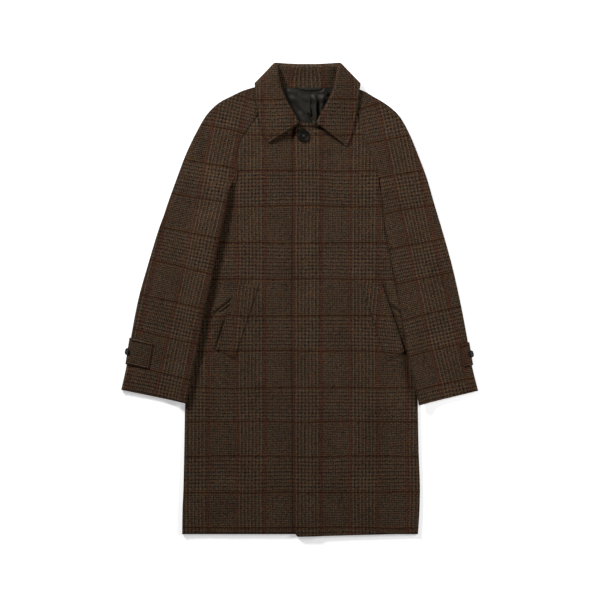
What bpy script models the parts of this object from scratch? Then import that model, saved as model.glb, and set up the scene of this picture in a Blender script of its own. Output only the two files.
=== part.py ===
"""Balmacaan coat in heavy wool, fastened and laid flat on its back.

Lengths are in millimetres until a mesh is made. Before the last step, x is measured from the
centre line of the back and y up from the hem. A length called "out" is measured from the centre
line towards the side. "Right" and "left" are the wearer's, so the right side has negative x.
"""
import math
from collections import namedtuple

import bmesh
import bpy
from mathutils import Matrix, Vector

MM = 0.001
WALL = 2.8                    # wool with its facing or lining
SEAM = 0.3                    # gap at a seam
REST = 0.5                    # gap under a layer that lies on another
FRONT_TOP = 9.2               # upper face of the fronts above the floor
FOLD_RADIUS = 4.75            # rounding of the body's side and of a sleeve's outer edge
SLEEVE_DEPTH = 2 * FOLD_RADIUS
TIGHTEST_FOLD = 3.2
UNDER_FLAT = 3.0              # a sleeve's underarm seam lies flat for this much
UPRIGHT = 0.25                # share of half an edge's depth that stands upright at its seam
EDGE_DEGREES = (0, 0.001, 32, 62, 90)
COLLAR_CENTRE = 15.0          # the collar sits a little to the wearer's left
COLLAR_LIFT = 3.5             # the back of the coat lies on the collar behind the neck
LIFT_RUN = 14.0               # the cloth climbs onto the collar over this length
LIFT_LEAD = 5.0               # and is up this far before the collar's edge
LIFT_REACH = 140.0            # no lift further than this from the collar's centre
UNDERARM_Y = 738.0
UNDERARM_TOP = 742.0          # above this the sleeve's under face lies on the front
SIDE_FADE = 26.0              # the body's side grows round over this length below the underarm

FLY_RISE = 3.2                # the left front over the right front
FLY_FLAT = 33.0               # the raised part ends here, beside the fly's stitching
FLY_VALLEY = [(0, 52), (680, 52), (760, 70), (1100, 70)]
UNDERLAP_DIP = 1.0            # the right front sinks by this much under the left one
UNDERLAP_FROM = 40.0
UNDERLAP_RUN = 30.0

TURN_COST = 30.0              # length that a radian of bend counts for when points are shared out
SLEEVE_COLUMNS = 16           # past the rounded outer edge
UNDER_COLUMNS = 4
FRONT_COLUMNS = 10
BACK_COLUMNS = 10
UNDERARM_ROW = 6.6            # here the front leaves the floor seam and climbs onto the body
UNDERARM_GAP = 4.2
EDGE_MARGIN = 0.8             # a sleeve starts to drop to the floor this far past the body's edge
SHORTEST_DROP = 4.0
CLIMB = 40.0                  # a sleeve climbs onto the body over at least this length
CLIMB_PAST_SIDE = 30.0        # from this far outside the body's side
CLIMB_END = 7.0               # to this far outside it
SEAM_ROW = 9                  # the sleeve row where the fold ends and the raglan seam shows

SleeveRow = namedtuple("SleeveRow", "outer outer_y inner inner_y inner_top")
CollarRow = namedtuple(
    "CollarRow", "neck neck_y neck_z roll roll_y roll_z leaf leaf_y leaf_z fold turn")
Strap = namedtuple("Strap", "low_row high_row reach")
Side = namedtuple("Side", "name sign body sleeve front_edge front_top under hidden_edge"
                  " back_seam strap welt")

# Half width of the body at its side edge, by height above the hem.
BODY_RIGHT = [(-5, 274), (60, 273), (106, 271), (198, 269), (301, 267), (359, 264), (451, 261),
              (543, 258), (612, 253), (681, 245), (738, 232), (1100, 232)]
BODY_LEFT = [(-5, 269), (60, 273), (106, 274), (198, 271), (301, 269), (359, 266), (451, 261),
             (543, 256), (612, 252), (681, 245), (738, 232), (1100, 232)]
BODY_LEVELS = [37, 90, 160, 230, 300, 370, 440, 510, 570, 620, 662, 696, 722, 738]
BACK_LEVELS = [790, 850, 910, 960, 985, 1000, 1008, 1014, 1019, 1023]
NECK_ARCH = 8.0               # the back's neck edge curves up by this much at the middle
NECK_ARCH_FROM = 940.0
HEM = {-1: (5, 5), 1: (5, -2)}        # height of the hem at the side and at the front edge

# Rows across a sleeve from the cuff to the neck: its outer edge, its inner fold or, above the
# armpit, the front raglan seam, and the height of the cloth there.
SLEEVE_RIGHT = [
    SleeveRow(414, 336, 263, 305, 18.4),
    SleeveRow(402, 391, 253, 358, 19.0),
    SleeveRow(391, 460, 239, 424, 19.2),
    SleeveRow(375, 543, 224, 508, 19.2),
    SleeveRow(352, 626, 206, 589, 19.2),
    SleeveRow(327, 708, 189, 674, 19.2),
    SleeveRow(316, 738, 181, 708, 19.2),
    SleeveRow(306, 768, 174, 743, 19.0),
    SleeveRow(285, 826, 163, 796, 16.8),
    SleeveRow(267, 874, 152, 828, 9.4),
    SleeveRow(241, 929, 148, 869, 9.3),
    SleeveRow(216, 971, 138, 908, 9.3),
    SleeveRow(189, 997, 122, 934, 9.3),
    SleeveRow(161, 1012, 108, 954, 9.3),
    SleeveRow(131, 1026, 94, 973, 9.3),
    SleeveRow(110, 1032, 80, 989, 9.3),
    SleeveRow(82, 1038, 62, 1009, 9.3),
]
SLEEVE_LEFT = [
    SleeveRow(408, 334, 271, 301, 18.4),
    SleeveRow(394, 391, 259, 356, 19.0),
    SleeveRow(382, 460, 245, 424, 19.2),
    SleeveRow(366, 543, 231, 506, 19.2),
    SleeveRow(347, 626, 217, 586, 19.2),
    SleeveRow(324, 708, 200, 672, 19.2),
    SleeveRow(315, 738, 194, 706, 19.2),
    SleeveRow(306, 768, 190, 741, 19.0),
    SleeveRow(290, 823, 184, 796, 16.8),
    SleeveRow(271, 874, 179, 828, 9.4),
    SleeveRow(248, 929, 162, 872, 9.3),
    SleeveRow(223, 971, 146, 913, 9.3),
    SleeveRow(193, 996, 137, 945, 9.3),
    SleeveRow(166, 1012, 131, 966, 9.3),
    SleeveRow(143, 1025, 119, 984, 9.3),
    SleeveRow(124, 1031, 106, 997, 9.3),
    SleeveRow(110, 1037, 91, 1008, 9.3),
]
SLEEVE_STEPS = [0, 1, 1.5, 2, 3, 4, 5, 5.5, 6, 6.3, 6.6, 6.8, 7, 7.5, 8, 8.5,
                9, 10, 11, 12, 13, 14, 15, 16]

# Where each row of a front that starts on the raglan seam ends, at the front or neck edge.
FRONT_TOP_RIGHT = [(-30, 812), (-30, 855), (-30, 895), (-30, 925), (-26, 939), (14, 948),
                   (33, 972), (55, 1005)]
FRONT_TOP_LEFT = [(-18, 814), (-17, 862), (-17, 905), (-15, 938), (38, 946), (62, 973),
                  (78, 994), (87, 1004)]
FRONT_EDGE_RIGHT = [(-5, -30), (900, -30)]
FRONT_EDGE_LEFT = [(-2, -8), (7, -16), (37, -18), (244, -18), (428, -20), (773, -18), (900, -18)]

# Where the part of a sleeve that is folded under it ends: down the hidden end of the raglan
# seam to the underarm, then along the underarm seam, which lies on the floor.
UNDER_RIGHT = [(290, 291), (359, 287), (451, 284), (543, 281), (612, 276), (679, 268),
               (713, 257), (732, 250), (742, 241), (751, 224), (828, 152)]
UNDER_LEFT = [(290, 293), (359, 289), (451, 284), (543, 279), (612, 275), (679, 268),
              (713, 257), (732, 250), (742, 241), (751, 224), (828, 179)]
# The part of a front's raglan edge that lies under the sleeve: height and distance out of that
# end of a row, and height of its other end.
HIDDEN_RIGHT = [(783, 190, 775), (797, 162, 786), (812, 156, 799)]
HIDDEN_LEFT = [(783, 205, 775), (797, 183, 786), (812, 180, 799)]
BACK_SEAM_RIGHT = [(742, 231), (1024, 66)]
BACK_SEAM_LEFT = [(742, 231), (1024, 96)]

# Half of the collar from its point round to the centre back, out from the collar's centre.
# A fold's turn is 0 where the fall lies over the stand and 180 where it lies under it.
COLLAR = [
    CollarRow(30, 940, 13.6, 19, 949, 18.0, 90, 902, 13.0, 4.3, 0),
    CollarRow(41, 953, 13.6, 28, 966, 18.5, 100, 922, 13.0, 4.4, 0),
    CollarRow(56, 971, 13.6, 41, 989, 18.7, 108, 954, 13.6, 4.6, 0),
    CollarRow(70, 993, 13.6, 53, 1013, 18.7, 115, 987, 14.8, 4.8, 0),
    CollarRow(79, 1012, 13.6, 63, 1044, 18.8, 118, 1014, 16.2, 5.2, 18),
    CollarRow(85, 1025, 12.6, 67, 1070, 19.2, 121, 1033, 15.6, 6.0, 50),
    CollarRow(86, 1028, 10.6, 69, 1084, 16.4, 122, 1042, 8.4, 6.8, 90),
    CollarRow(77, 1030, 9.6, 61, 1088, 9.6, 112, 1036, 0.2, 8.4, 142),
    CollarRow(54, 1031, 9.2, 41, 1087, 9.2, 70, 1023, 0.0, 8.9, 172),
    CollarRow(27, 1031, 9.2, 20, 1086, 9.1, 34, 1020, 0.0, 9.0, 180),
    CollarRow(0, 1031, 9.2, 0, 1086, 9.0, 0, 1020, 0.0, 9.0, 180),
]
COLLAR_STEPS = [0, 1, 2, 3, 4, 4.5, 5, 5.5, 6, 6.5, 7, 7.5, 8, 9, 10]
COLLAR_LEAF = [(0, 1020), (34, 1020), (70, 1023), (112, 1036), (122, 1042)]
POINT_DROP = 8.0              # the left collar point reaches lower than the right one
COLLAR_WALL = 2.6
STAND_BEND = 0.15             # how far up the stand its lower bend is, as a share of its height
SEAM_LIP = 2.4                # the cloth runs straight for this much beside the collar's seam
TURN_ROWS = (5.5, 7.0)        # where the fall passes from over the stand to under it
TURN_GAP = 1.6
STAND_END = [(-19, 944.5, 13.8), (-17, 953, 14.4)]    # its lapped end, out, y and z

# Corners of a pocket welt: upper outer, upper inner, lower outer, lower inner.
WELT_RIGHT = [(150, 580), (97, 573), (195, 428), (152, 407)]
WELT_LEFT = [(186, 582), (136, 580), (238, 425), (198, 400)]

LINING_WALL = 1.0
LINING = [(924, 14), (945, 24), (965, 38), (985, 48), (1005, 60), (1020, 68), (1030, 66)]
LOOP_HALF_LENGTH = 27.0
LOOP_X = 20.0
LOOP_WIDTH = 6.0
LOOP_WALL = 1.2
LOOP_Y = 1030.5
LOOP_SAG = 2.5
LOOP_RISE = 0.8
LOOP_UNDERSIDE = 10.4

BUTTON_X, BUTTON_Y = 6.0, 920.0
BUTTON_PROFILE = [(0.0, 4.0), (6.5, 3.6), (9.5, 4.2), (11.0, 4.9), (12.8, 4.9), (13.9, 3.8),
                  (14.0, 2.2), (12.6, 0.6), (10.5, 0.0), (0.0, 0.0)]
CUFF_BUTTON_SCALE = 0.58
CUFF_BUTTON_TILT = 35.0

RIGHT = Side("right", -1, BODY_RIGHT, SLEEVE_RIGHT, FRONT_EDGE_RIGHT, FRONT_TOP_RIGHT,
             UNDER_RIGHT, HIDDEN_RIGHT, BACK_SEAM_RIGHT, Strap(1.06, 1.94, 54.0), WELT_RIGHT)
LEFT = Side("left", 1, BODY_LEFT, SLEEVE_LEFT, FRONT_EDGE_LEFT, FRONT_TOP_LEFT,
            UNDER_LEFT, HIDDEN_LEFT, BACK_SEAM_LEFT, Strap(1.03, 1.80, 20.0), WELT_LEFT)
STRAP_WALL = 2.6
STRAP_GAP = 0.7
CORNER = 0.9                  # how far a strap's bend stands past a round one


def clamp(value):
    return max(0.0, min(1.0, value))


def smooth(value):
    value = clamp(value)
    return value * value * (3.0 - 2.0 * value)


def mix(a, b, t):
    return a + (b - a) * t


def along(table, key):
    """Value at a key of a table of (key, value) pairs, on a curve that doesn't overshoot."""
    keys = [pair[0] for pair in table]
    values = [pair[1] for pair in table]
    if key <= keys[0]:
        return float(values[0])
    if key >= keys[-1]:
        return float(values[-1])
    step = next(i for i in range(len(keys) - 1) if key <= keys[i + 1])
    rates = [(values[i + 1] - values[i]) / (keys[i + 1] - keys[i]) for i in range(len(keys) - 1)]
    slopes = [rates[0]]
    for before, after in zip(rates, rates[1:]):
        slopes.append(2 * before * after / (before + after) if before * after > 0 else 0.0)
    slopes.append(rates[-1])
    span = keys[step + 1] - keys[step]
    t = (key - keys[step]) / span
    return (values[step] * (1 + 2 * t) * (1 - t) ** 2 + slopes[step] * span * t * (1 - t) ** 2
            + values[step + 1] * t * t * (3 - 2 * t) + slopes[step + 1] * span * t * t * (t - 1))


def rounded(degrees):
    """Inset and rise, as a share of half the depth, on an edge that starts upright at a seam."""
    angle = math.radians(abs(degrees))
    inset = FOLD_RADIUS * (1.0 - math.cos(angle))
    return inset, UPRIGHT * (degrees != 0) + (1.0 - UPRIGHT) * math.sin(angle)


def row_at(rows, t):
    """The row of a table at a place between its rows."""
    columns = [along([(i, row[c]) for i, row in enumerate(rows)], t) for c in range(len(rows[0]))]
    return rows[0]._make(columns)


def trimmed(points, gap=SEAM):
    """A path that starts half a seam's gap later."""
    step = (points[1] - points[0]).normalized()
    return [points[0] + step * (gap / 2)] + points[1:]


def trimmed_end(points, gap=SEAM):
    return trimmed(points[::-1], gap)[::-1]


def share_out(points, count):
    """Points along a path, closer where it bends."""
    costs = [0.0]
    for i in range(1, len(points)):
        step = points[i] - points[i - 1]
        bend = 0.0
        if i + 1 < len(points):
            bend = step.angle(points[i + 1] - points[i], 0.0)
        costs.append(costs[-1] + step.length + TURN_COST * bend)
    shared = []
    for k in range(count + 1):
        goal = costs[-1] * k / count
        i = next((j for j in range(1, len(costs)) if costs[j] >= goal - 1e-9), len(costs) - 1)
        t = clamp((goal - costs[i - 1]) / (costs[i] - costs[i - 1]))
        shared.append(points[i - 1].lerp(points[i], t))
    return shared


def collar_lift(out, y, sign):
    """How far the back and the sleeves are raised by the collar behind the neck."""
    from_centre = abs(sign * out - COLLAR_CENTRE)
    past_leaf = y - along(COLLAR_LEAF, from_centre)
    over = smooth((past_leaf + LIFT_RUN + LIFT_LEAD) / LIFT_RUN)
    return COLLAR_LIFT * over * smooth((LIFT_REACH - from_centre) / LIFT_RUN)


def front_height(side, out, y):
    """Height of a front's upper face."""
    x = side.sign * out
    if side.sign > 0:
        valley = along(FLY_VALLEY, y)
        return FRONT_TOP + FLY_RISE * (1.0 - smooth((x - FLY_FLAT) / (valley - FLY_FLAT)))
    return FRONT_TOP - UNDERLAP_DIP * smooth((x + UNDERLAP_FROM) / UNDERLAP_RUN)


def under_height(side, out, y):
    """Height of a sleeve's under face: on the front, and down to the floor beside the body."""
    edge = along(side.body, y)
    reach = max(SHORTEST_DROP, along(side.under, y) - edge - UNDER_FLAT)
    on_front = front_height(side, out, y) + REST
    if y > UNDERARM_TOP:
        return on_front
    return on_front * smooth((edge + EDGE_MARGIN - out + reach) / reach)


def back_inner(side, y):
    """Inner seam of a sleeve's back part: the underarm seam and, above it, the back raglan."""
    return along(side.under if y < UNDERARM_TOP else side.back_seam, y)


def crossing(row, line):
    """Distance along a sleeve row, from its outer edge, to where it meets a line."""
    length = math.hypot(row.outer - row.inner, row.outer_y - row.inner_y)

    def beyond(t):
        return mix(row.outer, row.inner, t) - line(mix(row.outer_y, row.inner_y, t))

    low, high = 0.0, 1.2
    for _ in range(40):
        middle = (low + high) / 2
        if beyond(middle) > 0:
            low = middle
        else:
            high = middle
    return low * length


class SleeveLine:
    """One row across a sleeve: a straight line in plan from its outer to its inner edge."""

    def __init__(self, side, t):
        self.side = side
        self.t = t
        self.row = row_at(side.sleeve, t)
        self.start = Vector((self.row.outer, self.row.outer_y))
        end = Vector((self.row.inner, self.row.inner_y))
        self.width = (end - self.start).length
        self.along = (end - self.start) / self.width

    def place(self, reach, height):
        spot = self.start + self.along * reach
        return Vector((spot.x, spot.y, height))

    def lift(self, reach):
        spot = self.start + self.along * reach
        return collar_lift(spot.x, spot.y, self.side.sign)

    def top(self, reach):
        """Height of the upper face, which climbs from beside the body onto it."""
        past_side = along(self.side.body, self.row.inner_y) - self.row.inner
        climb_from = min(past_side + CLIMB_PAST_SIDE, 0.9 * self.width)
        climb_to = max(0.0, min(past_side - CLIMB_END, climb_from - CLIMB))
        left = self.width - reach
        outer_top = SLEEVE_DEPTH + self.lift(reach)
        return mix(outer_top, self.row.inner_top,
                   smooth((climb_from - left) / (climb_from - climb_to)))

    def edge(self, degrees):
        """A point of the rounded outer edge, from -90 on the floor to 90 on top."""
        reach, rise = rounded(degrees)
        middle = FOLD_RADIUS + self.lift(reach)
        if degrees < 0:
            return self.place(reach, middle - rise * FOLD_RADIUS)
        return self.place(reach, mix(middle, self.top(reach), rise))

    def front(self):
        """The sleeve's front part, from the seam at its outer edge over the top and under."""
        points = [self.edge(90)]
        if self.t >= SEAM_ROW:
            steps = 12
            last = self.width - UNDER_FLAT
            points += [self.place(r, self.top(r)) for r in
                       (mix(FOLD_RADIUS, last, (i + 1) / steps) for i in range(steps))]
            points.append(self.place(self.width, self.top(self.width)))
            return points
        under = under_height(self.side, self.row.inner + FOLD_RADIUS, self.row.inner_y)
        drop = self.row.inner_top - under
        radius = max(TIGHTEST_FOLD, drop / 2)
        turn = math.degrees(math.acos(max(-1.0, 1.0 - drop / radius)))
        steps = 14
        last = self.width - radius
        points += [self.place(r, self.top(r)) for r in
                   (mix(FOLD_RADIUS, last, (i + 1) / steps) for i in range(steps))]
        centre = self.row.inner_top - radius
        for i in range(1, 9):
            angle = math.radians(turn * i / 8)
            points.append(self.place(last + radius * math.sin(angle),
                                     centre + radius * math.cos(angle)))
        tucked = smooth((SEAM_ROW - 1 - self.t) / 0.6)
        seam = crossing(self.row, lambda y: along(self.side.under, y))
        end = mix(last, seam, tucked)
        if last - end > 2 * UNDER_FLAT:
            reaches = [mix(last, end + UNDER_FLAT, (i + 1) / 10) for i in range(10)] + [end]
            for reach in reaches:
                spot = self.start + self.along * reach
                points.append(self.place(reach, under_height(self.side, spot.x, spot.y)))
        return points

    def back(self):
        """The sleeve's back part on the floor, from the outer seam to its inner seam."""
        points = [self.edge(-90)]
        end = crossing(self.row, lambda y: back_inner(self.side, y))
        steps = 8
        for i in range(steps):
            reach = mix(FOLD_RADIUS, end, (i + 1) / steps)
            points.append(self.place(reach, self.lift(reach)))
        return points


def cloth(name, rows, wall, material, turned=False):
    """A wall of cloth under a face whose points are given in rows."""
    if turned:
        rows = [row[::-1] for row in rows]
    across, up = len(rows[0]) - 1, len(rows) - 1
    mesh = bpy.data.meshes.new(name)
    grid = bmesh.new()
    bmesh.ops.create_grid(grid, x_segments=across, y_segments=up, size=1.0)
    for vertex in grid.verts:
        column = round((vertex.co.x + 1.0) / 2.0 * across)
        level = round((vertex.co.y + 1.0) / 2.0 * up)
        vertex.co = rows[level][column] * MM
    for face in grid.faces:
        face.smooth = True
    grid.to_mesh(mesh)
    grid.free()
    piece = bpy.data.objects.new(name, mesh)
    mesh.materials.append(material)
    coat.objects.link(piece)
    solidify = piece.modifiers.new("Wall", "SOLIDIFY")
    solidify.thickness = wall * MM
    solidify.offset = -1.0
    return piece


def to_world(side, points):
    return [Vector((side.sign * p.x, p.y, p.z)) for p in points]


def build_sleeve(side):
    fronts, backs = [], []
    for t in SLEEVE_STEPS:
        line = SleeveLine(side, t)
        front = line.front()
        end = trimmed_end(front[-2:])
        front = share_out(front[:-1], SLEEVE_COLUMNS - 1) + end[1:]
        gap = UNDERARM_GAP if t == UNDERARM_ROW else SEAM
        back = share_out(trimmed_end(line.back(), gap), UNDER_COLUMNS)
        upper = trimmed([line.edge(degrees) for degrees in EDGE_DEGREES])
        lower = trimmed([line.edge(-degrees) for degrees in EDGE_DEGREES])
        fronts.append(to_world(side, upper[:-1] + front))
        backs.append(to_world(side, lower[:-1] + back))
    cloth(side.name + "_sleeve_front", fronts, WALL, wool, turned=side.sign > 0)
    cloth(side.name + "_sleeve_back", backs, WALL, wool, turned=side.sign < 0)


def side_round(y):
    """How round the body's side edge is: fully below the underarm, not at all above it."""
    return smooth((UNDERARM_Y - y) / SIDE_FADE)


def side_edge(edge, y, crown):
    """The body's edge from its side seam to where the panel is flat."""
    points = []
    rounding = side_round(y)
    seam = mix(crown, FOLD_RADIUS, rounding)
    for i, degrees in enumerate(EDGE_DEGREES):
        inset, rise = rounded(degrees)
        inset = mix(FOLD_RADIUS * i / (len(EDGE_DEGREES) - 1), inset, rounding)
        points.append(Vector((edge - inset, y, mix(seam, crown, rise))))
    return trimmed(points, 2 * SEAM)


def front_section(side, edge, edge_y, inner, inner_y):
    """Across a front from its side or raglan seam to its front or neck edge."""
    crown = front_height(side, edge - FOLD_RADIUS, edge_y)
    points = side_edge(edge, edge_y, crown)
    steps = 26
    start = edge - FOLD_RADIUS
    path = []
    for i in range(steps + 1):
        t = i / steps
        out, y = mix(start, inner, t), mix(edge_y, inner_y, t)
        path.append(Vector((out, y, front_height(side, out, y))))
    return points[:-1] + share_out(path, FRONT_COLUMNS)


def build_front(side):
    rows = []
    side_hem, edge_hem = HEM[side.sign]
    sections = [(along(side.body, side_hem), side_hem,
                 front_edge(side, edge_hem), edge_hem)]
    if side.sign > 0:
        sections.append((along(side.body, 13), 13, front_edge(side, 7), 7))
    for y in BODY_LEVELS:
        sections.append((along(side.body, y), y, front_edge(side, y), y))
    for edge_y, edge, inner_y in side.hidden_edge:
        sections.append((edge, edge_y, front_edge(side, inner_y), inner_y))
    for row, (inner, inner_y) in zip(side.sleeve[SEAM_ROW:], side.front_top):
        sections.append((row.inner, row.inner_y, inner, inner_y))
    for section in sections:
        rows.append(to_world(side, front_section(side, *section)))
    cloth(side.name + "_front", rows, WALL, wool, turned=side.sign > 0)


def front_edge(side, y):
    return along(side.front_edge, y)


def build_back():
    rows = []
    for y in [3] + BODY_LEVELS + BACK_LEVELS:
        arch = NECK_ARCH * smooth((y - NECK_ARCH_FROM) / (BACK_LEVELS[-1] - NECK_ARCH_FROM))
        path = []
        edges = []
        for side in (RIGHT, LEFT):
            edge = along(side.body, y) if y <= UNDERARM_Y else along(side.back_seam, y)
            flat = collar_lift(edge, y, side.sign)
            edges.append(to_world(side, side_edge(edge, y, flat)))
            half = []
            steps = 10
            for i in range(steps):
                out = (edge - FOLD_RADIUS) * (1.0 - i / steps)
                bent_y = y + arch * neck_arch(side, out, y)
                half.append(Vector((side.sign * out, bent_y, collar_lift(out, bent_y, side.sign))))
            path.append(half)
        middle_y = y + arch * neck_arch(LEFT, 0.0, y)
        middle = Vector((0.0, middle_y, collar_lift(0.0, middle_y, 1)))
        path = share_out(path[0] + [middle] + path[1][::-1], BACK_COLUMNS)
        rows.append(edges[0][:-1] + path + edges[1][:-1][::-1])
    cloth("back", rows, WALL, wool, turned=True)


def neck_arch(side, out, y):
    """How far the top of the back curves up to the middle of the neck, from 0 to 1."""
    reach = along(side.back_seam, y)
    half = reach - side.sign * COLLAR_CENTRE
    return 1.0 - min(1.0, abs(side.sign * out - COLLAR_CENTRE) / half) ** 4


def collar_section(row, mirror):
    """Across the collar: up the stand from the neck seam, round the roll, down the fall."""
    neck = Vector((row.neck, row.neck_y, row.neck_z))
    roll = Vector((row.roll, row.roll_y, row.roll_z))
    leaf = Vector((row.leaf, row.leaf_y, row.leaf_z))
    away = Vector((leaf.x - roll.x, leaf.y - roll.y, 0.0)).normalized()
    inward = Vector((away.y, -away.x, 0.0))
    turn = math.radians(row.turn)
    to_stand = Vector((0, 0, -1)) * math.cos(turn) + inward * math.sin(turn)
    centre = roll + away * row.fold
    stand_top = centre + to_stand * row.fold
    bend = stand_top + away * (stand_top - neck).length * 0.5
    bend.z = mix(neck.z, stand_top.z, STAND_BEND)
    stand = [neck.lerp(bend, i / 6).lerp(bend.lerp(stand_top, i / 6), i / 6) for i in range(5)]
    stand += [stand_top + away * 2 * SEAM_LIP, stand_top + away * SEAM_LIP]
    fall = [stand[-1]]
    for degrees in (90, 45, 0, -45, -90):
        angle = math.radians(degrees)
        fall.append(centre - away * row.fold * math.cos(angle)
                    + to_stand * row.fold * math.sin(angle))
    start = fall[-1]
    fall += [start.lerp(leaf, (i + 1) / 8) for i in range(8)]
    return [[Vector((COLLAR_CENTRE + mirror * p.x, p.y, p.z)) for p in part]
            for part in (stand, fall)]


def build_collar():
    stands, falls = [], []
    places = [(t, -1) for t in COLLAR_STEPS] + [(t, 1) for t in COLLAR_STEPS[-2::-1]]
    for t, mirror in places:
        row = row_at(COLLAR, t)
        if mirror > 0:
            drop = POINT_DROP * smooth((3.0 - t) / 3.0)
            row = row._replace(leaf_y=row.leaf_y - drop)
        stand, fall = collar_section(row, mirror)
        gap = TURN_GAP if TURN_ROWS[0] <= t <= TURN_ROWS[1] else 2 * SEAM
        lip = trimmed_end(stand[-2:], gap)
        stands.append(share_out(stand[:-1], 3) + [lip[-1]])
        falls.append(trimmed(fall[:6], gap) + share_out(fall[6:], 6))
    lapped = [Vector((COLLAR_CENTRE + out, y, z)) for out, y, z in STAND_END]
    stands.append([lapped[0].lerp(lapped[1], i / 4) for i in range(5)])
    cloth("collar_stand", columns_to_rows(stands), COLLAR_WALL, wool)
    cloth("collar_fall", columns_to_rows(falls), COLLAR_WALL, wool)


def columns_to_rows(columns):
    return [[column[i] for column in columns] for i in range(len(columns[0]))]


def build_lining():
    rows = []
    for y, half in LINING:
        row = []
        for i in range(7):
            out = half * (i / 3.0 - 1.0)
            x = COLLAR_CENTRE + out
            height = WALL + collar_lift(x, y + NECK_ARCH, 1) + REST + LINING_WALL
            row.append(Vector((x, y, height)))
        rows.append(row)
    cloth("neck_lining", rows, LINING_WALL, lining)


def build_loop():
    rows = []
    for step in (-0.5, 0.5):
        row = []
        for i in range(9):
            t = i / 4.0 - 1.0
            bow = 1.0 - t * t
            row.append(Vector((LOOP_X + LOOP_HALF_LENGTH * t,
                               LOOP_Y - LOOP_SAG * bow + LOOP_WIDTH * step,
                               LOOP_UNDERSIDE + LOOP_WALL + LOOP_RISE * bow)))
        rows.append(row)
    cloth("hanger_loop", rows, LOOP_WALL, lining)


def build_welt(side):
    upper_outer, upper_inner, lower_outer, lower_inner = [Vector(c) for c in side.welt]
    rows = []
    for level in range(7):
        row = []
        for column in range(4):
            outer = lower_outer.lerp(upper_outer, level / 6)
            inner = lower_inner.lerp(upper_inner, level / 6)
            spot = outer.lerp(inner, column / 3)
            height = front_height(side, spot.x, spot.y) + SEAM + WALL
            row.append(Vector((side.sign * spot.x, spot.y, height)))
        rows.append(row)
    cloth(side.name + "_pocket_welt", rows, WALL, wool, turned=side.sign > 0)


def strap_section(side, t):
    line = SleeveLine(side, t)
    path = [line.edge(degrees) for degrees in (-25, 0, 25, 45, 65, 90)]
    steps = 8
    for i in range(steps):
        reach = mix(FOLD_RADIUS, side.strap.reach, (i + 1) / steps)
        path.append(line.place(reach, line.top(reach)))
    raised = []
    for i, point in enumerate(path):
        step = path[min(i + 1, len(path) - 1)] - path[max(i - 1, 0)]
        run = Vector((step.x, step.y, 0.0)).dot(Vector((line.along.x, line.along.y, 0.0)))
        normal = (Vector((line.along.x, line.along.y, 0.0)) * -step.z
                  + Vector((0, 0, run))).normalized()
        raised.append(point + normal * (STRAP_WALL + STRAP_GAP))
    return raised


def build_strap(side):
    rows = []
    for i in range(7):
        t = mix(side.strap.low_row, side.strap.high_row, i / 6)
        rows.append(to_world(side, share_out(strap_section(side, t), 12)))
    cloth(side.name + "_cuff_strap", rows, STRAP_WALL, wool, turned=side.sign > 0)


def turned_button(name, scale, frame):
    """A button turned from its profile, standing on the local XY plane."""
    mesh = bpy.data.meshes.new(name)
    profile = bmesh.new()
    corners = [profile.verts.new((r * scale * MM, 0.0, z * scale * MM)) for r, z in BUTTON_PROFILE]
    for first, second in zip(corners, corners[1:]):
        profile.edges.new((first, second))
    profile.to_mesh(mesh)
    profile.free()
    piece = bpy.data.objects.new(name, mesh)
    mesh.materials.append(horn)
    coat.objects.link(piece)
    screw = piece.modifiers.new("Turn", "SCREW")
    screw.steps = 20
    screw.render_steps = 20
    screw.use_merge_vertices = True
    screw.merge_threshold = 0.00001
    piece.matrix_world = frame
    return piece


def build_buttons():
    height = front_height(LEFT, BUTTON_X, BUTTON_Y) + SEAM
    place = Vector((BUTTON_X, BUTTON_Y, height)) * MM
    turned_button("top_button", 1.0, Matrix.Translation(place))
    for side in (RIGHT, LEFT):
        t = mix(side.strap.low_row, side.strap.high_row, 0.5)
        line = SleeveLine(side, t)
        angle = math.radians(CUFF_BUTTON_TILT)
        radius = FOLD_RADIUS + STRAP_WALL + STRAP_GAP + CORNER
        spot = line.place(FOLD_RADIUS - radius * math.cos(angle),
                          FOLD_RADIUS + radius * math.sin(angle))
        outward = Vector((-line.along.x * side.sign, -line.along.y, 0.0)).normalized()
        axis = outward * math.cos(angle) + Vector((0, 0, math.sin(angle)))
        place = Vector((side.sign * spot.x, spot.y, spot.z)) * MM
        frame = Matrix.Translation(place) @ axis.to_track_quat("Z", "Y").to_matrix().to_4x4()
        turned_button(side.name + "_cuff_button", CUFF_BUTTON_SCALE, frame)


def finish(name, colour, roughness, sheen=0.0):
    material = bpy.data.materials.new(name)
    material.use_nodes = True
    shader = material.node_tree.nodes["Principled BSDF"]
    shader.inputs["Base Color"].default_value = (*colour, 1.0)
    shader.inputs["Roughness"].default_value = roughness
    shader.inputs["Sheen Weight"].default_value = sheen
    return material


def centre_on_floor():
    """Move the coat so that the middle of its box's underside is at the origin."""
    bpy.context.view_layer.update()
    graph = bpy.context.evaluated_depsgraph_get()
    corners = []
    for piece in coat.objects:
        solid = piece.evaluated_get(graph)
        corners += [solid.matrix_world @ vertex.co for vertex in solid.data.vertices]
    middle = Vector([(min(c[i] for c in corners) + max(c[i] for c in corners)) / 2
                     for i in range(2)] + [min(c.z for c in corners)])
    for piece in coat.objects:
        piece.location -= middle
    print("moved by", [round(-value, 6) for value in middle])


for leftover in list(bpy.data.objects):
    bpy.data.objects.remove(leftover)
coat = bpy.data.collections.new("balmacaan_coat")
bpy.context.scene.collection.children.link(coat)

wool = finish("wool", (0.045, 0.032, 0.022), 0.9, 0.3)
lining = finish("lining", (0.022, 0.019, 0.016), 0.45)
horn = finish("button", (0.015, 0.013, 0.011), 0.35)

build_back()
for half in (RIGHT, LEFT):
    build_front(half)
    build_sleeve(half)
    build_welt(half)
    build_strap(half)
build_collar()
build_lining()
build_loop()
build_buttons()
centre_on_floor()
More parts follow.
